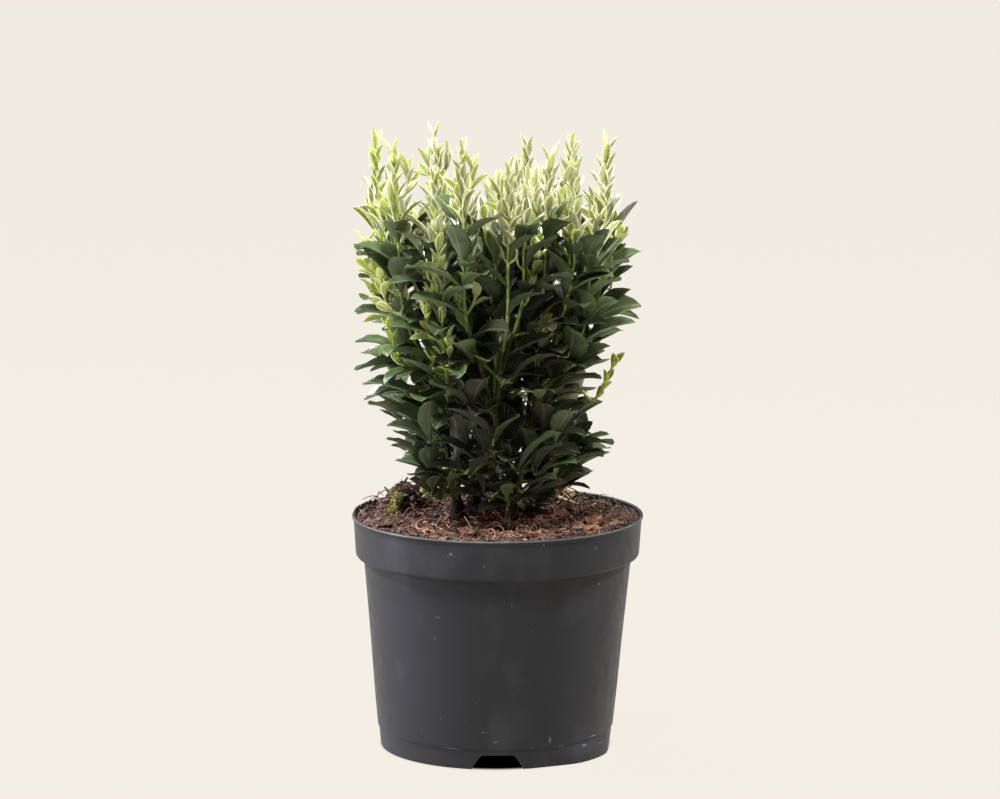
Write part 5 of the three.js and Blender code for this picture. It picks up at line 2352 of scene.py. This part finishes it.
            below += gap * (0.8 if twig.fresh else max(0.55, twig.gap_share))
            pair += 1
        return sides

    def place_leaf(self, twig: Twig, seat: Seat, extra: Draws) -> None:
        """Places one leaf, turned a little at a time until it has room, or leaves it out.

        Args:
            twig: its twig.
            seat: where it grows.
            extra: the row of numbers that shapes it.
        """
        kind = self.kind_at(seat.age, twig)
        shape = extra.pick(SHAPES[kind].variants)
        verts, faces = self.sheets[kind][shape]
        tone = twig.tone if extra() < 0.75 else extra.pick(3)
        x, y, z = seat.foot
        # Grown leaves near the crown's middle or low in its heart take the darker tone: painted shade.
        deep = math.hypot(x - CROWN_X, y) < mix(44, 24, ease((z - SOIL_LEVEL - 60) / 90))
        in_heart = abs(x - 7) < 36 and z < SOIL_LEVEL + 160 and shape % 3 > 0
        if kind == LeafKind.GROWN and (deep or in_heart):
            tone = SHADED
        wide = 0.9 + 0.22 * extra()
        for swing, share, opening in TRIES:
            turn = self.frame_of(seat.stem, seat.azimuth + swing, seat.angle + opening, twig.to_light)
            size = seat.size * share
            scale = Vector((size * wide, size, size))
            root = seat.foot + turn.col[1] * 0.3
            points = [root + turn @ Vector((v.x * scale.x, v.y * scale.y, v.z * scale.z)) for v in verts]
            if self.fits(points, self.leaf_off_soil) and self.room.free(points, faces):
                self.room.hold(points, faces)
                self.places[kind].append(Place(root, turn, scale, shape, tone))
                return

    def side_shoot(self, seat: Seat, extra: Draws, lime: bool) -> Optional[Twig]:
        """Grows a side shoot from the foot of a leaf, unless it would leave the crown.

        Args:
            seat: where the leaf grows.
            extra: the row of numbers that shapes the shoot.
            lime: True for a fresh lime shoot on old wood, False for one of the pale flush.

        Returns:
            The side shoot, if there is one.
        """
        out, stem = seat.out, seat.stem
        length = extra.between(14, 38) if lime else extra.between(8, 24)
        first = seat.foot + (out * 0.75 + stem * 0.6).normalized() * length * 0.45
        last = first + (stem + UP * 0.6 + out * 0.12).normalized() * length * 0.6
        if not self.fits([first, last + Vector((0, 0, 12))], self.twig_off_soil):
            return None
        path = Path([seat.foot, first, last])
        seed = SEED + int(extra() * 1e6)
        return Twig(path, 0.95, 0.6, extra() * FULL_TURN, seed, 0.0, 1.0, 4.0, extra.pick(3), lime)

    def leaf_finishes(self, kind: LeafKind) -> list[list[Material]]:
        """Makes the materials of a kind of leaf.

        Args:
            kind: the kind.

        Returns:
            For each zone (blade, edge, underside and the underside's edge) the materials of its tones.
        """
        blades, edges, unders, rough, glow = LEAF_TONES[kind]
        name = kind.value
        edge = [PlainLeafSkin(f"{name}_edge_{i}", c, rough + 0.05, glow).build() for i, c in enumerate(edges)]
        return [
            [LeafSkin(f"{name}_blade_{i}", c, 0.55, rough, glow).build() for i, c in enumerate(blades)],
            edge,
            [LeafSkin(f"{name}_underside_{i}", c, 0.4, 0.48, glow).build() for i, c in enumerate(unders)],
            edge,
        ]

    def twig_piece(self, twigs: Sequence[Twig], sides: int = 8) -> Object:
        """Makes all twigs one piece, swollen at their nodes, pale at the tips and brown at the foot.

        Args:
            twigs: the twigs.
            sides: how many sides each has.

        Returns:
            The piece.
        """
        shell = Shell()
        for twig in twigs:
            length = twig.path.length

            def radius(distance: float, angle: float) -> float:
                """The twig's radius, a little thicker at its leaf nodes.

                Args:
                    distance: how far along it.
                    angle: the way round it.

                Returns:
                    Its radius there.
                """
                near = min((abs(distance - node) for node in twig.nodes), default=9.0)
                swell = 1 + 0.22 * max(0.0, 1 - near / 2.4)
                square = 1 + 0.07 * math.cos(4 * angle)
                return mix(twig.first_radius, twig.last_radius, (distance / length) ** 0.8) * swell * square

            tones = [2]
            for _ in range(sides):
                for start in twig.path.starts[:-1]:
                    below = length - start
                    age = ease((below - 6) / self.grown_below + twig.age_at_tip)
                    old = not twig.fresh and length > 90 and below > length - 45
                    tones.append(2 if old else (1 if age > 0.55 else 0))
                tones.append(0 if twig.age_at_tip < 0.5 else 1)
            shell.add(*twig.path.tube(radius, sides), tones)
        woods = [
            Bark("pale_green_shoot", "b3bd70", "ccd192", "8e9a4e", 9.0, 0.45).build(),
            Bark("green_shoot", "768b42", "93a35c", "4f6130", 9.0, 0.48).build(),
            Bark("brown_green_shoot", "454329", "66653e", "262315", 9.0, 0.6).build(),
        ]
        return shell.piece("twigs", woods, 60.0)

    def build(self) -> None:
        """Makes the twigs and the leaves."""
        masses = [f"foliage_{cell.name}" for cell in self.cells]
        dress(self.twig_piece(self.grow()), masses)
        for kind, places in self.places.items():
            shape = SHAPES[kind]
            meshes = [
                shape_mesh(f"{kind.value}_{v}", *shape.draw(SEED + self.variant_step * v))
                for v in range(shape.variants)
            ]
            spray = Spray(f"leaves_{kind.value}", meshes, self.leaf_finishes(kind))
            log.info("%s: %d leaves", spray.name, len(places))
            dress(spray.build(places), masses)


# Pale backdrop paper with light behind it: it stays an even cream under lamps of any strength.
@dataclass(frozen=True)
class PalePaper(Finish):
    """Matt cream paper that glows evenly."""

    colour: str = "f2ede2"
    matt: str = "151413"
    glow: float = 0.988
    foot_x: float = -0.0015
    dark_to: float = 0.07
    bright_from: float = 0.0775

    def shader(self, tree: NodeTree) -> NodeSocket:
        """Fills the tree: a matt surface with an even glow, but none under the pot, where no light comes.

        Args:
            tree: the tree to fill.

        Returns:
            The shader's output socket.
        """
        place = add(tree, "ShaderNodeTexCoord").outputs["Object"]
        foot = (self.foot_x, 0.0, 0.0)
        away = add(tree, "ShaderNodeVectorMath", {0: place, 1: foot}, operation="DISTANCE").outputs["Value"]
        strength = add(
            tree, "ShaderNodeMapRange",
            {"Value": away, "From Min": self.dark_to, "From Max": self.bright_from, "To Max": self.glow},
            interpolation_type="SMOOTHSTEP",
        )
        inputs = {
            "Base Color": linear(self.matt), "Roughness": 0.95, "Specular IOR Level": 0.0,
            "Emission Color": linear(self.colour), "Emission Strength": strength.outputs[0],
        }
        return add(tree, "ShaderNodeBsdfPrincipled", inputs).outputs[0]


@dataclass
class Studio:
    """A plain pale floor, soft lamps and the camera at the photograph's angle, in metres."""

    camera_place: Point3 = (0.0016, -2.8, 0.70)
    camera_down: float = 9.56
    lens: float = 157.25
    sensor: float = 36.0
    floor_half: float = 14.0
    world: str = "d4cdc3"
    world_strength: float = 0.31
    aim: Point3 = (0.0, 0.0, 0.24)

    def lamp(self, name: str, place: Point3, size: float, power: float, colour: str) -> None:
        """Adds a soft square lamp that looks at the middle of the crown.

        Args:
            name: its name.
            place: where it hangs.
            size: its side.
            power: its power in watts.
            colour: its colour.
        """
        light = bpy.data.lights.new(name, "AREA")
        light.size = size
        light.energy = power
        light.color = linear(colour)[:3]
        lamp = bpy.data.objects.new(name, light)
        lamp.location = place
        lamp.rotation_euler = (Vector(place) - Vector(self.aim)).to_track_quat("Z", "Y").to_euler()
        bpy.context.scene.collection.objects.link(lamp)

    def build(self) -> None:
        """Makes the floor, the world, the lamps and the camera."""
        scene = bpy.context.scene
        half = self.floor_half / MM
        shell = Shell()
        corners = [Vector((x * half, y * half, -0.05)) for x, y in ((-1, -1), (1, -1), (1, 1), (-1, 1))]
        shell.add(corners, [[0, 1, 2, 3]])
        floor = shell.piece("floor", [PalePaper("pale_paper_floor").build()])
        world = bpy.data.worlds.new("studio_air")
        world.use_nodes = True
        world.node_tree.nodes.clear()
        air = add(
            world.node_tree, "ShaderNodeBackground",
            {"Color": linear(self.world), "Strength": self.world_strength},
        )
        add(world.node_tree, "ShaderNodeOutputWorld", {"Surface": air.outputs[0]})
        scene.world = world
        self.lamp("left_window", (-1.45, 0.15, 1.55), 0.22, 74.0, "f6f6ff")
        self.lamp("right_window", (1.55, 0.45, 1.4), 0.22, 58.0, "fffaf4")
        self.lamp("top_window", (-0.1, -0.75, 1.75), 0.26, 39.0, "ffffff")
        self.lamp("left_bank", (-1.5, -0.8, 1.2), 0.8, 11.0, "f4f6ff")
        self.lamp("back_bank", (-1.0, 1.2, 1.5), 0.8, 34.0, "f4f6ff")
        self.lamp("low_left_strip", (-1.15, 0.0, 0.3), 0.35, 10.0, "f2f4ff")
        scene.view_settings.view_transform = "Standard"
        camera = bpy.data.cameras.new("camera")
        camera.lens = self.lens
        camera.sensor_width = self.sensor
        camera.clip_end = 60.0
        eye = bpy.data.objects.new("camera", camera)
        eye.location = self.camera_place
        eye.rotation_euler = (math.radians(90 - self.camera_down), 0.0, 0.0)
        scene.collection.objects.link(eye)
        scene.camera = eye


def main() -> None:
    logging.basicConfig(level=logging.INFO, format="%(name)s: %(message)s")
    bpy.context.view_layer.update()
    Pot().build()
    PottingMix().build()
    cells = make_cells()
    limbs = WoodyClump(cells).build()
    Crown(cells, limbs).build()
    Studio().build()


if __name__ == "__main__":
    main()
